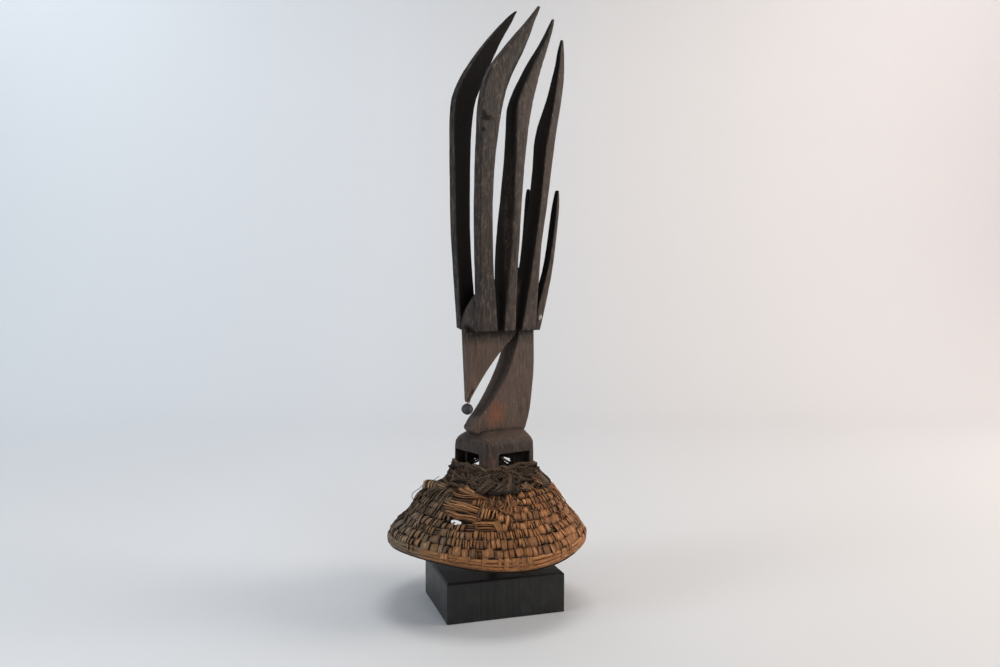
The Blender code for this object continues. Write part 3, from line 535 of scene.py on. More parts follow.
# ---- Straw cap ----
# A coiled basket cap: rows of a grass foundation sewn together with flat split straw. Each splint
# goes over its row and into the gap below. The lowest row is a plain rim coil with a few wraps.
side_height = (133.4, 131.5, 125.5, 117.0, 110.0, 104.0, 98.0, 91.0, 84.5, 77.5, 71.5)
side_radius = (47.0, 57.5, 66.5, 75.5, 81.0, 87.0, 93.0, 98.5, 102.3, 105.2, 106.0)
dents = (  # turn, height, half turn, half height, depth
    (-150.0, 114.0, 19.0, 8.0, 2.6),
    (-122.0, 121.0, 24.0, 6.0, 2.2),
    (-36.0, 112.0, 20.0, 9.0, 1.6),
    (143.0, 102.0, 32.0, 9.0, 2.6),
    (146.0, 95.5, 34.0, 6.5, 5.4),
    (144.0, 122.0, 24.0, 11.0, -7.0),
    (40.0, 96.0, 30.0, 12.0, 2.0),
)
cap_top, lean_drop = side_height[0], 33.4
side_run = np.concatenate(([0.0], np.cumsum(np.hypot(np.diff(side_height), np.diff(side_radius)))))
row_count = 10
row_pitch = side_run[-1] / row_count


def turn_from(turn, middle):
    """Degrees from the middle, the short way round."""
    return (np.degrees(turn) - middle + 180) % 360 - 180


def leaned(turn, radius, height, axis_height):
    """A place round the cap's axis, which leans back and to the near side towards the top."""
    share = np.clip((cap_top - axis_height) / lean_drop, 0, 1)
    x, y = 2.4 - 7.3 * share, -1.8 + 5.3 * share
    return np.stack((x + radius * np.cos(turn), y + radius * np.sin(turn), height), axis=-1)


def cap_surface(turn, run, lift):
    """A point on the cap: the side's height and radius at a distance down the side, moved out
    square to the side by lift, pushed in by the dents, leaned, and waved at the brim."""
    height = np.interp(run, side_run, side_height)
    radius = np.interp(run, side_run, side_radius)
    ahead = np.interp(run + 4, side_run, side_radius) - np.interp(run - 4, side_run, side_radius)
    fall = np.interp(run - 4, side_run, side_height) - np.interp(run + 4, side_run, side_height)
    size = np.hypot(ahead, fall)
    for middle, level, half_turn, half_height, depth in dents:
        reach = (turn_from(turn, middle) / half_turn) ** 2 + ((height - level) / half_height) ** 2
        radius = radius - depth * np.exp(-1.5 * reach)
    droop = np.clip((110 - height) / 40, 0, 1) ** 2
    wave = 4 * np.cos(3 * (turn + math.radians(163)))
    wave = wave + 3.2 * np.exp(-1.5 * (turn_from(turn, 160) / 36) ** 2)
    return leaned(turn, radius + lift * fall / size, height + wave * droop + lift * ahead / size, height)


def cap_out(turn):
    """The way straight out of the cap's side at a turn."""
    return np.stack((0.76 * np.cos(turn), 0.76 * np.sin(turn), np.full_like(turn, 0.65)), axis=-1)


def patch(turn, height, places):
    """How far each place lies inside any of the ovals given as turn, height, half turn, half height:
    1 at an oval's middle, 0 at its edge."""
    inside = np.zeros(np.broadcast(turn, height).shape)
    for middle, level, half_turn, half_height in places:
        reach = np.hypot(turn_from(turn, middle) / half_turn, (height - level) / half_height)
        inside = np.maximum(inside, 1 - reach)
    return inside


holes = ((-151.0, 107.0, 12.0, 6.0), (-83.0, 109.0, 3.0, 4.0))
missing = (
    (-153.0, 119.5, 17.0, 6.5),
    (-143.0, 110.5, 11.5, 4.0),
    (-126.0, 116.0, 9.0, 6.0),
    (-127.0, 106.4, 6.0, 2.2),
    (165.0, 126.5, 20.0, 4.5),
    (-155.0, 129.5, 24.0, 4.0),
    (-122.0, 127.5, 11.0, 6.5),
    (-83.0, 109.0, 1.8, 2.6),
)
fresh = ((-106.0, 126.0, 14.0, 5.0), (-98.0, 120.5, 14.0, 3.0), (-113.0, 109.0, 3.0, 7.0))


def splint_rows(inside, seed):
    """Where each splint sits: its row's middle, its turn, its width and its row. A row is cut into
    slots, some of them empty, that hold one, two or three splints side by side."""
    chance = np.random.default_rng(seed)
    found = []
    for row in range(row_count - 1):
        middle = (row + 0.5) * row_pitch
        around = 2 * math.pi * (np.interp(middle, side_run, side_radius) - (5 if inside else 0))
        slot = 5.4 if row < 4 else 6.2 if row < 6 else 7.2 if row < 7 else 9.6
        count = round(around / slot)
        held = chance.choice((1, 2, 3), count, p=(0.4, 0.4, 0.2))
        share = (1 + 0.24 * chance.standard_normal(count).clip(-2, 2)) / held
        there = chance.random(count) > (0.10 if row < 7 else 0.03)
        width = np.repeat(share, held)
        width *= around / width.sum()
        stops = np.concatenate(([0.0], np.cumsum(width)))
        turn = (stops[:-1] + stops[1:]) / around * math.pi + chance.uniform(0, 6)
        turn = (turn + math.pi) % (2 * math.pi) - math.pi
        rows = np.stack((np.full(len(width), middle), turn, width, np.full(len(width), float(row))), axis=1)
        found.append(rows[np.repeat(there, held)])
    found = np.concatenate(found)
    height = np.interp(found[:, 0], side_run, side_height)
    found = found[patch(found[:, 1], height, holes if inside else missing) <= 0]
    return found, chance


def make_splints(name, inside, seed):
    """Each splint is a flat strip laid over its row: it rises out of one gap, runs nearly level, a
    little prouder at its lower end, and dives into the next gap. Its ends are drawn narrower."""
    found, chance = splint_rows(inside, seed)
    middle, around, width, row = found.T
    count = len(found)
    at = np.array((-1.0, -0.86, -0.58, -0.05, 0.5, 0.82, 1.0))
    long_one = (chance.random(count) < 0.06) & (row < 6)
    reach = row_pitch * (0.54 + 0.07 * chance.standard_normal(count).clip(-2, 2) + 0.3 * long_one)
    under_hole = (row == 5) & (np.abs(turn_from(around, -150.5)) < 6.5) & (not inside)
    reach = reach * (1 - 0.3 * under_hole)
    shift = 0.9 * chance.standard_normal((count, 1)).clip(-2, 2) * ~under_hole[:, None]
    run = middle[:, None] + shift + 1.4 * under_hole[:, None] + reach[:, None] * at
    slant = 0.08 + 0.09 * chance.standard_normal(count) + 0.45 * long_one
    radius = np.interp(middle, side_run, side_radius)
    turn = around[:, None] + (slant * reach / radius)[:, None] * at
    high = 0.9 + 0.55 * chance.standard_normal(count).clip(-2, 2) + 0.5 * long_one
    rise = (1 - np.abs(at) ** np.where(row[:, None] < 6, 3, 5)) ** 0.6
    lift = -2.0 + (high[:, None] + 2.0 + 0.35 * at) * rise
    if inside:
        lift = -4.6 - 0.8 * lift
    spine = cap_surface(turn, run, lift)
    across, out = directions(spine, cap_out(turn) * (-1 if inside else 1))
    tilt = (0.14 + 0.13 * chance.standard_normal(count))[:, None, None]
    across, out = across * np.cos(tilt) + out * np.sin(tilt), out * np.cos(tilt) - across * np.sin(tilt)
    half = width / 2 - 0.22 - 0.7 * chance.random(count) * (chance.random(count) < 0.4)
    drawn = np.where(row < 5, 0.35, 0.2) * chance.random((2, count))
    narrow = np.where(at < 0, drawn[0][:, None], drawn[1][:, None]) * np.abs(at) ** 2.2
    bright = patch(around, np.interp(middle, side_run, side_height), fresh)
    tone_and_shade = 0.46 + 0.5 * chance.random(count) + 0.8 * bright
    # Painted shade: each splint is darker at both ends, where it dives into the gaps, and over its lower
    # half.
    tone_and_shade = tone_and_shade[:, None] * (1 - 0.85 * np.abs(at) ** 4 - 0.22 * np.maximum(at, 0))
    warmth = 0.3 * bright + 0.14 * chance.standard_normal(count)
    made = strips(name, spine, across, out, half[:, None] * (1 - narrow), 0.52, 8, 0.42, tone_and_shade, warmth)
    made.data.set_sharp_from_angle(angle=math.radians(38))
    return made


straw, tree, shader = new_material("split_straw", 0.58, 0.3)
place = object_place(tree)
tone_and_shade = carried(tree, "tone_and_shade")
fibre = carried(tree, "grain", "Vector")
streak = mottle(tree, scaled(tree, fibre, (1.15, 0.1, 1.0)), 1.0, 6.0, 0.75)
# Painted light: cool grey on the animal's front left, where the cool lamp falls, and warm brown on its near
# and back side, where the warm lamps fall.
away = placed(tree, "DOT_PRODUCT", place, (8.1, -5.9, -3.0), output="Value")
painted_light_side = worked(tree, "ADD", away, mottle(tree, place, 16.0, 4.0))
painted_light_side = worked(tree, "ADD", painted_light_side, carried(tree, "warmth"))
painted_light_side = worked(tree, "ADD", painted_light_side, 0.5)
colour = ramp(tree, painted_light_side, [(0.0, (0.36, 0.25, 0.16)), (0.15, (0.42, 0.26, 0.145)),
                              (0.5, (0.56, 0.24, 0.085)), (1.0, (0.62, 0.26, 0.09))])
splint_number = node(tree, "ShaderNodeSeparateXYZ", {"Vector": fibre}).outputs["Z"]
each = node(tree, "ShaderNodeTexWhiteNoise", {"W": splint_number}, noise_dimensions="1D").outputs["Value"]
tint = ramp(tree, each, [(0.0, (0.72, 0.7, 0.72)), (0.25, (0.97, 0.88, 0.82)), (0.5, (0.92, 0.93, 0.74)),
                         (0.75, (1.0, 0.92, 0.96)), (1.0, (1.0, 1.0, 1.0))])
colour = layered(tree, colour, tint, 1.0, blend_type="MULTIPLY")
# Painted shade and highlight: low tone darkens the straw, and the highest tone lays on a pale orange painted
# highlight.
shaded = ramp(tree, tone_and_shade, [(0.0, 0.97), (0.3, 0.7), (0.55, 0.28), (0.85, 0.0)])
colour = layered(tree, colour, (0.04, 0.023, 0.013), shaded)
colour = layered(tree, colour, (0.86, 0.5, 0.22), ramp(tree, tone_and_shade, [(0.72, 0.0), (1.0, 0.5)]))
colour = layered(tree, colour, (0.035, 0.02, 0.011), ramp(tree, streak, [(0.34, 0.92), (0.6, 0.0)]))
painted(tree, shader, colour)
bump(tree, shader, streak, 0.0007, 1.0)

# The foundation is coloured nearly black: painted shade in the gaps between the splints.
cap_core = closed_copy("basket_cap", "grass_foundation")
points, normals, edges = mesh_arrays(cap_core.data)
facing = np.einsum("ij,ij->i", normals, cap_out(np.arctan2(points[:, 1], points[:, 0])))
sunk = 0.9 * (facing < -0.3) + 2.3 * rising(facing, 0.3, 0.3)
cap_core.data.vertices.foreach_set("co", ((points - normals * sunk[:, None]) * 0.001).reshape(-1))
shade_dark_grass, tree, shader = new_material("shade_dark_grass", 0.9, 0.2)
tufts = mottle(tree, object_place(tree), 500.0, 6.0)
painted(tree, shader, ramp(tree, tufts, [(0.35, (0.008, 0.005, 0.003)), (0.7, (0.035, 0.021, 0.012))]))
bump(tree, shader, tufts, 0.0012)
fixed(cap_core, shade_dark_grass, "basket_cap")


def turned_out(made):
    """Faces of closed strips turned outwards."""
    work = bmesh.new()
    work.from_mesh(made.data)
    bmesh.ops.recalc_face_normals(work, faces=work.faces)
    work.to_mesh(made.data)
    work.free()


def straw_piece(made):
    """Finish a piece in split straw and fix it to the body."""
    turned_out(made)
    fixed(made, straw)


straw_piece(make_splints("outer_splints", False, 11))
straw_piece(make_splints("inner_splints", True, 23))

# The grass rods of the foundation, three to a row, which show where splints are gone.
upright = (0.0, 0.0, 1.0)
rod_turn = np.linspace(0, 2 * math.pi, 161)
rod_run = ((np.arange(row_count - 1) + 0.5) * row_pitch)[:, None] + np.array((-2.7, 0.0, 2.6))
rod_number = np.arange(rod_run.size)[:, None]
rod_run = rod_run.reshape(-1, 1) + 0.35 * np.sin(rod_turn * 11 + rod_number * 2.3)
rod_lift = -1.35 + 0.35 * np.sin(rod_turn * 7 + rod_number * 1.7) + 0.2 * np.sin(rod_turn * 23 + rod_number)
rod_spines = cap_surface(rod_turn, rod_run, rod_lift)
hole_near = patch(rod_turn, np.interp(rod_run, side_run, side_height), holes)
rod_size = 1.3 * (1 - 0.95 * np.clip(hole_near * 6, 0, 1))
chance = np.random.default_rng(3)
straw_piece(strips("foundation_rods", rod_spines, *directions(rod_spines, upright), rod_size, rod_size,
                   tone_and_shade=chance.uniform(0.15, 0.75, len(rod_spines))))

# The rim: long rods side by side round the brim, held by short wraps.
rim_turn = np.linspace(0, 2 * math.pi, 241)
rim_spines = []
for k, (run, lift) in enumerate(((82.3, 0.2), (85.4, 0.45), (88.5, -0.1), (90.4, -2.4), (87.0, -4.6))):
    wobble = 0.4 * np.sin(rim_turn * (5 + k) + k) + 0.25 * np.sin(rim_turn * (13 + k))
    rim_spines.append(cap_surface(rim_turn, run + wobble, lift + 0.25 * np.sin(rim_turn * (9 + k))))
rim_spines = np.stack(rim_spines)
# Painted light: the rim is drawn lighter and warmer on its near side, where the warm lamps fall.
painted_lit_side = np.cos(rim_turn + math.radians(70))
rim_tone_and_lit_side = np.array((0.9, 0.8, 0.9, 0.85, 0.5))[:, None] * (0.8 + 0.2 * painted_lit_side)
rim_warmth_and_lit_side = 0.15 + 0.35 * painted_lit_side * np.ones((5, 1))
straw_piece(strips("rim_rods", rim_spines, *directions(rim_spines, cap_out(rim_turn)), 2.1, 1.15, 8, 0.62,
                   rim_tone_and_lit_side, rim_warmth_and_lit_side))
wrap_count = 86
wrap_turn = np.sort(chance.uniform(-math.pi, math.pi, wrap_count))
wrap_at = np.linspace(0, 1, 12)
wrap_run = 80.2 + 11.2 * np.sin(np.pi * wrap_at) ** 0.7
wrap_way = wrap_turn[:, None] + 0.03 * (wrap_at - 0.5) * chance.standard_normal(wrap_count)[:, None]
wrap_spines = cap_surface(wrap_way, wrap_run, 1.9 - 8.6 * wrap_at)
wrap_middle = cap_surface(wrap_turn, 86.0, -1.8)[:, None]
wrap_width = chance.uniform(1.6, 4.2, wrap_count)[:, None]
straw_piece(strips("rim_wraps", wrap_spines, *directions(wrap_spines, wrap_spines - wrap_middle), wrap_width,
                   0.45, 8, 0.5, chance.uniform(0.5, 1.0, wrap_count), 0.25))


# ---- Worn part of the cap ----
# At the animal's front the sewing has broken: rods of the foundation lie bare, a tuft of straw has
# come loose, and the broken end of one coil stands up from the shoulder.
def on_cap(route, count):
    """A smooth path over the cap from corners given as turn in degrees, height and lift."""
    turn, height, lift = smooth_path(route, count).T
    run = np.interp(-height, -np.asarray(side_height), side_run)
    return cap_surface(np.radians(turn), run, lift)


def laid_straw(name, routes, count, half_width, half_thick, tone_and_shade, sides=6, square=0.8, warmth=0.3):
    """Straws that follow routes over the cap, flat side out, with painted shade darkening both ends."""
    spines = np.stack([on_cap(route, count) for route in routes])
    middle = spines.mean(axis=1)
    facing = directions(spines, cap_out(np.arctan2(middle[:, 1], middle[:, 0]))[:, None])
    width = np.asarray(half_width, dtype=float).reshape(-1, 1)
    tone_and_shade = np.asarray(tone_and_shade, dtype=float).reshape(-1, 1) * (1 - 0.8 * np.abs(np.linspace(-1, 1, count)) ** 6)
    straw_piece(strips(name, spines, *facing, width, half_thick, sides, square, tone_and_shade, warmth))


chance = np.random.default_rng(5)
bare_count = 15
share = np.linspace(0, 1, bare_count) + 0.03 * chance.standard_normal(bare_count)
proud = chance.uniform(0.9, 2.9, bare_count)
drift = chance.normal(0, 0.55, (bare_count, 2))
start = chance.uniform(-5, 5, bare_count)
laid_straw("bare_rods", [
    ((-171 + 8 * k + d, 124.6 - 13.6 * k, -0.6), (-161 + 4 * k + 0.6 * d, 123.6 - 13.2 * k + a, 0.7 * p),
     (-149, 121.9 - 12.2 * k + b, p + 0.4), (-139, 120.3 - 11.4 * k + a, p - 0.3),
     (-131.5, 119.0 - 10.8 * k, -0.4))
    for k, p, d, (a, b) in zip(share, proud, start, drift)
] + [
    ((-137, 108.2, 0.0), (-131, 107.9, 1.5), (-125, 107.9, 1.6), (-118, 108.2, 0.0)),
    ((-136, 106.4, 0.0), (-129, 106.2, 1.0), (-119, 106.5, 0.0)),
    ((-134, 104.6, 0.0), (-127, 104.5, 1.2), (-120, 104.6, 0.0)),
], 24, np.concatenate((chance.uniform(0.65, 1.15, bare_count), (1.1, 0.6, 0.9))), 0.9,
    np.concatenate((chance.uniform(0.3, 1.25, bare_count), (1.0, 0.5, 0.8))), 8, 1.0)

chance = np.random.default_rng(31)
tuft_count = 52
fan = np.linspace(-1, 1, tuft_count) + 0.12 * chance.standard_normal(tuft_count)
up = chance.uniform(0, 1.6, tuft_count)
laid_straw("loose_tuft", [
    ((-171 + 2 * s, 132.6, 1.6 + 2.8 * max(s, 0) + u), (-160 + 1.5 * s, 131.8 + 0.9 * s, 3.0 + 1.4 * s + u),
     (-150 + s, 130.4 + 0.9 * s, 3.2 + 0.9 * s + u), (-141, 129.4 + 0.4 * s, 2.4 + 0.5 * u),
     (-133 - 2 * s, 129.0, 0.3))
    for s, u in zip(fan, up)
], 22, chance.uniform(0.35, 0.62, tuft_count), 0.35, chance.uniform(0.25, 1.4, tuft_count), warmth=0.2)
laid_straw("curled_straws", [
    ((-176, 131.6, 1.0), (-168, 129.2, 2.6), (-158, 128.0, 2.8), (-146, 128.6, 2.4), (-136, 128.2, 1.6),
     (-128, 126.6, 0.4)),
    ((-172, 130.2, 0.8), (-163, 127.4, 2.2), (-152, 126.8, 2.6), (-142, 127.6, 2.2), (-133, 126.2, 0.4)),
], 30, (0.6, 0.5), 0.4, (1.0, 0.9))
laid_straw("short_wraps", [
    ((turn + lean, top, 0.0), (turn + 0.5 * lean, top - 1.4, 2.3), (turn, (top + low) / 2, 3.0),
     (turn - 0.5 * lean, low + 1.6, 2.3), (turn - lean, low, 0.0))
    for turn, lean, low, top in (
        (-134.2, 0.2, 110.4, 121.4), (-131.6, 0.2, 112.0, 119.8), (-129.2, -0.2, 111.8, 119.9),
        (-126.9, 0.2, 111.9, 119.5), (-123.4, 0.7, 111.6, 119.0), (-121.0, -0.5, 111.8, 118.4),
        (-118.6, 0.8, 112.0, 118.0), (-113.0, 0.6, 104.4, 114.4))
], 14, (0.8, 1.3, 1.2, 1.15, 1.0, 0.9, 0.8, 1.8), 0.6, (0.35, 1.2, 1.1, 0.95, 0.9, 0.75, 0.65, 1.0), 8, 0.7,
    0.1)

# A dark tangle of broken sewing hangs between the lashing and the cap's second row.
tangle_count = 90
turn = chance.uniform(-134, -108, tangle_count)
top = chance.uniform(124, 132.5, tangle_count)
drop = chance.uniform(4, 12, tangle_count)
sway = chance.normal(0, 5.0, tangle_count)
proud = chance.uniform(0.8, 3.4, tangle_count)
laid_straw("broken_sewing", [
    ((t, a, 0.6), (t + 0.4 * s, a - 0.3 * d, p), (t + 0.2 * s, a - 0.65 * d, p * 0.9),
     (t + s, a - d, 0.4 * p))
    for t, a, d, s, p in zip(turn, top, drop, sway, proud)
], 12, chance.uniform(0.4, 0.9, tangle_count), 0.5, chance.uniform(0.0, 0.9, tangle_count), warmth=0.05)
# Grey-green straws hang in the hollow under the broken coil.
hang_count = 34
turn = chance.uniform(148, 192, hang_count)
sway = chance.normal(0, 4.0, hang_count)
proud = chance.uniform(0.5, 3.0, hang_count)
laid_straw("hanging_straws", [
    ((t, 131.5, 1.0), (t + 0.3 * s, 128.0, p + 0.6), (t + 0.7 * s, 123.5, p), (t + s, 119.5, 0.2))
    for t, s, p in zip(turn, sway, proud)
], 12, chance.uniform(0.4, 0.8, hang_count), 0.4, chance.uniform(0.1, 0.95, hang_count), warmth=-0.35)

# The broken coil: a grass core with five wraps round it.
core_count, core_radius, wrap_radius = 11, 4.3, 5.9
stub_turn, stub_radius, stub_height = smooth_path(
    [(145.5, 73.0, 128.6), (151.0, 67.0, 129.6), (160.0, 60.5, 129.4), (172.0, 56.0, 128.6)], 16
).T
stub = leaned(np.radians(stub_turn), stub_radius, stub_height, stub_height)
stub_across, stub_up = directions(stub[None], upright)
ring = (np.arange(core_count) * 2 * math.pi / core_count)[:, None, None]
ragged = chance.uniform(-1.6, 0.8, core_count)[:, None, None] * (np.arange(16) < 2)[:, None]
core_rods = stub[None] + core_radius * (stub_across[0] * np.cos(ring) + stub_up[0] * np.sin(ring))
core_rods += ragged * (stub[1] - stub[0])
straw_piece(strips("stub_rods", core_rods, *directions(core_rods, upright), 1.4, 1.3,
                   tone_and_shade=chance.uniform(0.5, 1.4, core_count)))
loop = np.linspace(-0.6, 2 * math.pi - 1.0, 18)[:, None]
wrap_spines, wrap_ways = [], []
for k in (1, 3, 5, 7, 9):
    a, u = stub_across[0, k], stub_up[0, k]
    wrap_spines.append(stub[k] + wrap_radius * (a * np.cos(loop) + u * np.sin(loop)))
    wrap_ways.append(np.cross(a, u))
wrap_spines = np.stack(wrap_spines)
wrap_down = np.gradient(wrap_spines, axis=1)
wrap_down /= np.linalg.norm(wrap_down, axis=-1, keepdims=True)
wrap_across = np.broadcast_to(np.stack(wrap_ways)[:, None], wrap_spines.shape)
wrap_width = np.array((1.7, 0.9, 1.6, 1.4, 1.7))[:, None]
straw_piece(strips("stub_wraps", wrap_spines, wrap_across, np.cross(wrap_down, wrap_across), wrap_width, 0.45,
                   8, 0.6, tone_and_shade=(1.3, 0.1, 1.2, 0.9, 0.6)))


# ---- Cord lashing ----
# Twisted plant-fibre cords tie the carving's base to the cap: loops wound round the rail and down
# over the cap's shoulder, with loose strands sewn across them, over a wad of fibre coloured nearly
# black as painted shade between the cords.
lashing_foot, lashing_top = 134.6, 154.4
rail_front, rail_back = 30.9, 33.8
cord_lie = (0.02, 0.01, 1.0)


def rail_reach(turn):
    """Distance from the axis to a rectangle just clear of the rail."""
    cos, sin = np.cos(turn), np.sin(turn)
    along_x = np.where(cos > 0, rail_back, rail_front) / np.maximum(np.abs(cos), 1e-6)
    return np.minimum(along_x, rail_front / np.maximum(np.abs(sin), 1e-6))


ridge_height = (154.6, 152.4, 150.0, 147.6, 145.0, 142.6, 140.2, 137.6, 134.2)
ridge_reach = (1.3, 2.2, 2.8, 4.2, 5.4, 7.8, 9.6, 13.2, 17.0)


def lashing_point(turn, height, lift=0.0):
    """A place on the lashing: beside the rail at the top, on a round skirt lower down, lower on the
    far side and narrower towards the animal's front far corner. Lift moves it out."""
    inner = rail_reach(turn)
    facing = np.clip((np.cos(turn - math.radians(54)) - 0.1) / 0.6, 0, 1)
    sag = 11.0 * facing * facing * (3 - 2 * facing)
    kept = 1.0 - 0.4 * np.maximum(np.cos(turn - math.radians(144)), 0.0)
    reach = np.interp(-height, -np.asarray(ridge_height), ridge_reach) * kept
    spread = np.clip((150.0 - height) / 16.0, 0, 1)
    skirt = np.maximum(41.0 + reach * 1.18, inner + 4.0)
    pit = 5.5 * np.exp(-1.5 * ((turn_from(turn, -73) / 9) ** 2 + ((height - 137) / 4) ** 2))
    radius = (inner + reach) * (1 - spread) + skirt * spread + lift - pit
    return np.stack((radius * np.cos(turn), radius * np.sin(turn),
                     height - sag * (1 - spread) + 0.5 * lift * spread), axis=-1)


def twisted(name, spines, radius, pitch, tone_and_shade, sides=6):
    """Cords of two plies: each ply circles the cord's path once in every pitch."""
    across, out = directions(spines, cord_lie)
    phase = 2 * math.pi * run_along(spines) / pitch + np.arange(len(spines))[:, None]
    radius = np.broadcast_to(np.asarray(radius, dtype=float).reshape(-1, 1), phase.shape)
    plies = []
    for half in (0, math.pi):
        circle = across * np.cos(phase + half)[..., None] + out * np.sin(phase + half)[..., None]
        plies.append(spines + 0.95 * radius[..., None] * circle)
    plies, radius = np.concatenate(plies), np.tile(radius, (2, 1))
    made = strips(name, plies, *directions(plies, cord_lie), radius, radius, sides, tone_and_shade=np.tile(tone_and_shade, 2))
    turned_out(made)
    return made


chance = np.random.default_rng(77)
loop_turn = np.linspace(0, 2 * math.pi, 241)
loop_height = np.array((153.6, 151.0, 147.4, 143.6, 139.6, 135.6))[:, None]
number = np.arange(6)[:, None]
wavy = 1.1 * np.sin(loop_turn * 9 + 2.1 * number) + 0.7 * np.sin(loop_turn * 19 + number)
wavy += 1.2 * np.sin(loop_turn * 4 + 5 * number)
level = loop_height + wavy * np.array((0.9, 1, 1, 1, 0.8, 0.4))[:, None]
loops = lashing_point(loop_turn, np.clip(level, lashing_foot, lashing_top + 0.2),
                      -0.9 + 0.6 * np.sin(loop_turn * 7 + 3 * number))
cord_loops = twisted("cord_loops", loops, 1.35, 7.5, chance.uniform(0.5, 1.1, 6))

# Short cords are sewn over the loops, most of them slanting down from the rail to the cap.
sewn_count = 96
sewn_turn = chance.uniform(-math.pi, math.pi, sewn_count)[:, None]
sewn_top = chance.uniform(143.0, 154.4, sewn_count)[:, None]
sewn_drop = chance.uniform(3.0, 15.0, sewn_count)[:, None]
swing = chance.normal(0.0, 0.20, sewn_count)[:, None]
at = np.linspace(0, 1, 26)
level = np.clip(sewn_top - sewn_drop * at, lashing_foot, lashing_top)
sewn = lashing_point(sewn_turn + swing * (at - 0.5) * 2 + 0.05 * np.sin(at * 7 + sewn_turn * 5), level,
                     -0.9 + 1.2 * np.sin(math.pi * at) + 0.4 * chance.standard_normal((sewn_count, 1)))
sewn_cords = twisted("sewn_cords", sewn, chance.uniform(0.85, 1.4, sewn_count), 6.4,
                     chance.uniform(0.1, 1.1, sewn_count), 5)

# Ropes fall over the lashing's foot on the near side, leaning towards the animal's front.
rope_count = 34
rope_turn = np.concatenate((chance.uniform(-134, -84, 26), chance.uniform(-58, -34, 8)))
rope_turn = np.radians(rope_turn)[:, None]
rope_top = chance.uniform(138.0, 147.0, rope_count)[:, None]
rope_lean = np.radians(chance.uniform(6, 20, rope_count))[:, None]
rope_foot = chance.uniform(130.5, 133.5, rope_count)[:, None]
at = np.linspace(0, 1, 22)
ropes = lashing_point(rope_turn - rope_lean * at, rope_top + (rope_foot - rope_top) * at,
                      0.2 + 1.5 * np.sin(math.pi * at) + 0.5 * chance.standard_normal((rope_count, 1)))
falling_ropes = twisted("falling_ropes", ropes, chance.uniform(0.8, 1.3, rope_count), 5.6,
                        chance.uniform(0.3, 1.2, rope_count))

strand_count = 150
start_turn = chance.uniform(-math.pi, math.pi, strand_count)[:, None]
start_height = chance.uniform(135.0, 153.8, strand_count)[:, None]
swing = chance.normal(0, 0.15, strand_count)[:, None]
fall = chance.uniform(-8, 8, strand_count)[:, None]
at = np.linspace(0, 1, 9)
level = np.clip(start_height + fall * (at - 0.5), lashing_foot, lashing_top)
strands = lashing_point(start_turn + swing * (at - 0.5) * 2 + 0.03 * np.sin(at * 9 + start_turn * 5), level,
                        -0.4 + np.sin(math.pi * at) + 0.5 * chance.standard_normal((strand_count, 1)))
strand_width = chance.uniform(0.3, 0.75, strand_count)[:, None]
sewn_strands = strips("sewn_strands", strands, *directions(strands, cap_out(start_turn)), strand_width, 0.35,
                      tone_and_shade=chance.random(strand_count))
turned_out(sewn_strands)

# Cords cross the hollow of the base behind its windows.
crossing = np.stack([smooth_path(route, 40) for route in (
    [(37, -6, 148.6), (35.6, 4, 147), (35.4, 12, 146), (35.8, 20, 146.6), (37, 30, 148)],
    [(35.6, 12, 143.6), (35.2, 13.2, 147), (35.4, 14.4, 150.4), (35.8, 15.4, 154), (36.6, 18, 157)],
    [(-14, 33.6, 146.4), (-6, 32.6, 147.2), (0, 32.4, 148.6), (6, 32.8, 150.2), (14, 33.8, 151.6)],
    [(-24, -16, 146), (-14, -2, 151), (2, 8, 152), (18, 16, 149), (25, 20, 145)],
    [(-26, 14, 150), (-12, 16, 155), (6, 19, 157), (20, 18, 153), (25, 8, 147)],
)])
hollow_cords = twisted("hollow_cords", crossing, 0.75, 5.6, np.array((0.3, 0.2, 0.3, 0.2, 0.1)))

# The wad's section runs from beside the rail's top edge down to the cap, and back in along the cap.
wad_floor, wad_foot_radius = 133.95, 48.5
around = 2 * np.pi * np.arange(240) / 240
wad_turn, wad_level = np.meshgrid(around, np.linspace(154.0, 134.2, 15), indexing="ij")
wad = lashing_point(wad_turn, wad_level, -1.6)
wad += cap_out(wad_turn) * (0.9 * lattice_noise(wad, 3.2, 2) + 0.6 * lattice_noise(wad, 1.6, 6))[..., None]


def wad_ring(radius, height):
    """A closed ring of the wad at a radius and a height for each turn."""
    return np.stack((radius * np.cos(around), radius * np.sin(around), height), axis=-1)[:, None]


beside_rail, on_floor = rail_reach(around) + 0.05, np.full(around.shape, wad_floor)
top_edge = lashing_point(around, np.full(around.shape, 153.4))[:, 2]
wad = np.concatenate((wad_ring(beside_rail, top_edge), wad, wad_ring(wad_foot_radius, on_floor),
                      wad_ring(beside_rail, on_floor)), axis=1)
fibre_wad = grid_surface("fibre_wad", wad)
turned_out(fibre_wad)

old_cord, tree, shader = new_material("old_cord", 0.8, 0.3)
tone_and_shade = carried(tree, "tone_and_shade")
hairs = mottle(tree, scaled(tree, carried(tree, "grain", "Vector"), (2.6, 0.5, 1.0), 0.5), 1.0, 4.0, 0.7)
grime = mottle(tree, object_place(tree), 45.0, 5.0)
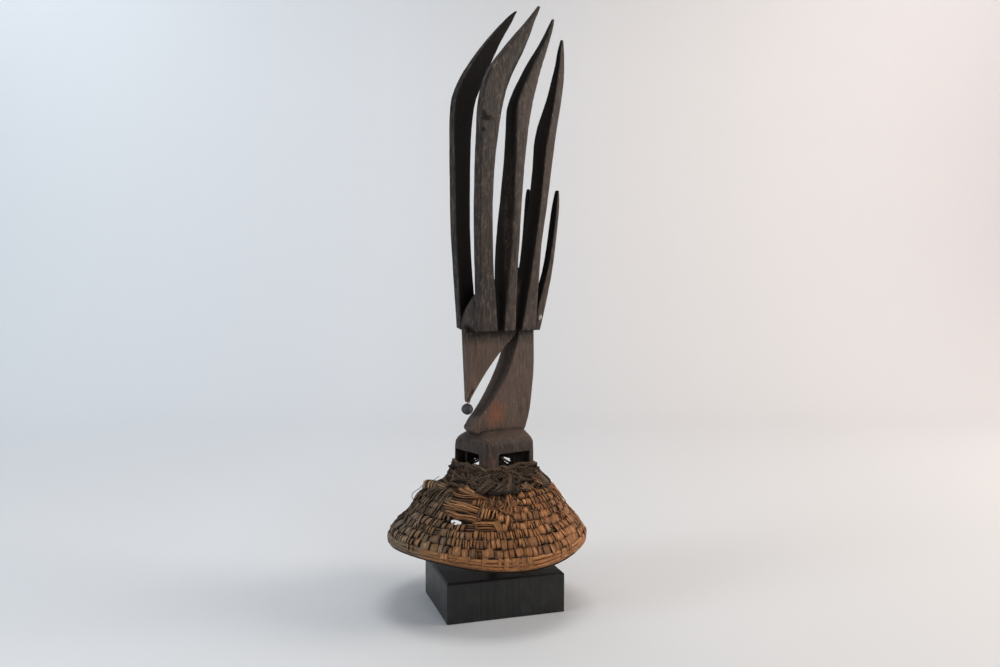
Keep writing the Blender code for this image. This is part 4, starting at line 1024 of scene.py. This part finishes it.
# The cords' tone carries painted shade: each ply is darkest on its sides and underneath and lightest on top.
colour = ramp(tree, tone_and_shade, [(0.0, (0.010, 0.006, 0.004)), (0.3, (0.045, 0.027, 0.016)),
                           (0.65, (0.17, 0.11, 0.065)), (1.0, (0.4, 0.29, 0.19))])
colour = layered(tree, colour, (0.09, 0.04, 0.02), ramp(tree, grime, [(0.45, 0.0), (0.75, 0.5)]))
colour = layered(tree, colour, (0.012, 0.008, 0.006), ramp(tree, hairs, [(0.3, 0.7), (0.6, 0.0)]))
painted(tree, shader, colour)
bump(tree, shader, hairs, 0.0004)
fixed(cord_loops, old_cord, "cord_lashing")
for made in (sewn_cords, sewn_strands, falling_ropes, hollow_cords):
    fixed(made, old_cord)
fixed(fibre_wad, shade_dark_grass)

# The cap's first row of splints climbs over the lashing's foot on the near and back side.
climb_turn = np.radians(np.concatenate((np.arange(-104, -22, 3.4), np.arange(-78, -20, 3.6))))
climb_low = np.where(np.arange(len(climb_turn)) < 25, 133.6, 137.4)
climb_turn = climb_turn + 0.012 * chance.standard_normal(len(climb_turn))
beside_pit = (np.abs(turn_from(climb_turn, -74)) > 9) & (turn_from(climb_turn, -95) > 4)
climb_turn, climb_low = climb_turn[beside_pit], climb_low[beside_pit]
at = np.linspace(-1, 1, 7)
level = climb_low[:, None] + 2.4 - 2.6 * at + 0.4 * chance.standard_normal((len(climb_turn), 1))
climb = lashing_point(climb_turn[:, None] + 0.02 * at, np.maximum(level, 133.8), 1.2 - 1.8 * np.abs(at) ** 4)
climb_width = (1.4 + 0.3 * chance.standard_normal(len(climb_turn)))[:, None] * (1 - 0.3 * at**2)
straw_piece(strips("shoulder_splints", climb, *directions(climb, cap_out(climb_turn)[:, None]), climb_width,
                   0.5, 8, 0.5, chance.uniform(0.1, 0.9, len(climb_turn)), -0.1))


# ---- Loose wisps ----
# Thin hairs of straw that stick out of the broken coil and the worn sewing. Each is caught at one
# end and springs free.
wisps = np.stack([smooth_path(route, 20) for route in (
    [(-70.0, 44.5, 110.5), (-73.4, 47.2, 116.4), (-72.4, 46.7, 120.8), (-68.8, 44.3, 124.0),
     (-66.1, 42.5, 126.2), (-62.5, 40.2, 131.0)],
    [(-55.0, 34.4, 132.6), (-53.7, 33.9, 134.8), (-51.9, 32.7, 136.4), (-49.2, 30.9, 138.6)],
    [(-62.5, 40.0, 130.0), (-62.2, 40.0, 131.6), (-62.0, 39.9, 132.8), (-63.0, 40.5, 134.0)],
)])
straw_wisps = strips("straw_wisps", wisps, *directions(wisps, (0.35, -0.9, 0.2)), 0.38, 0.3,
                     tone_and_shade=(0.3, 0.15, 0.3))
turned_out(straw_wisps)
fixed(straw_wisps, old_cord)
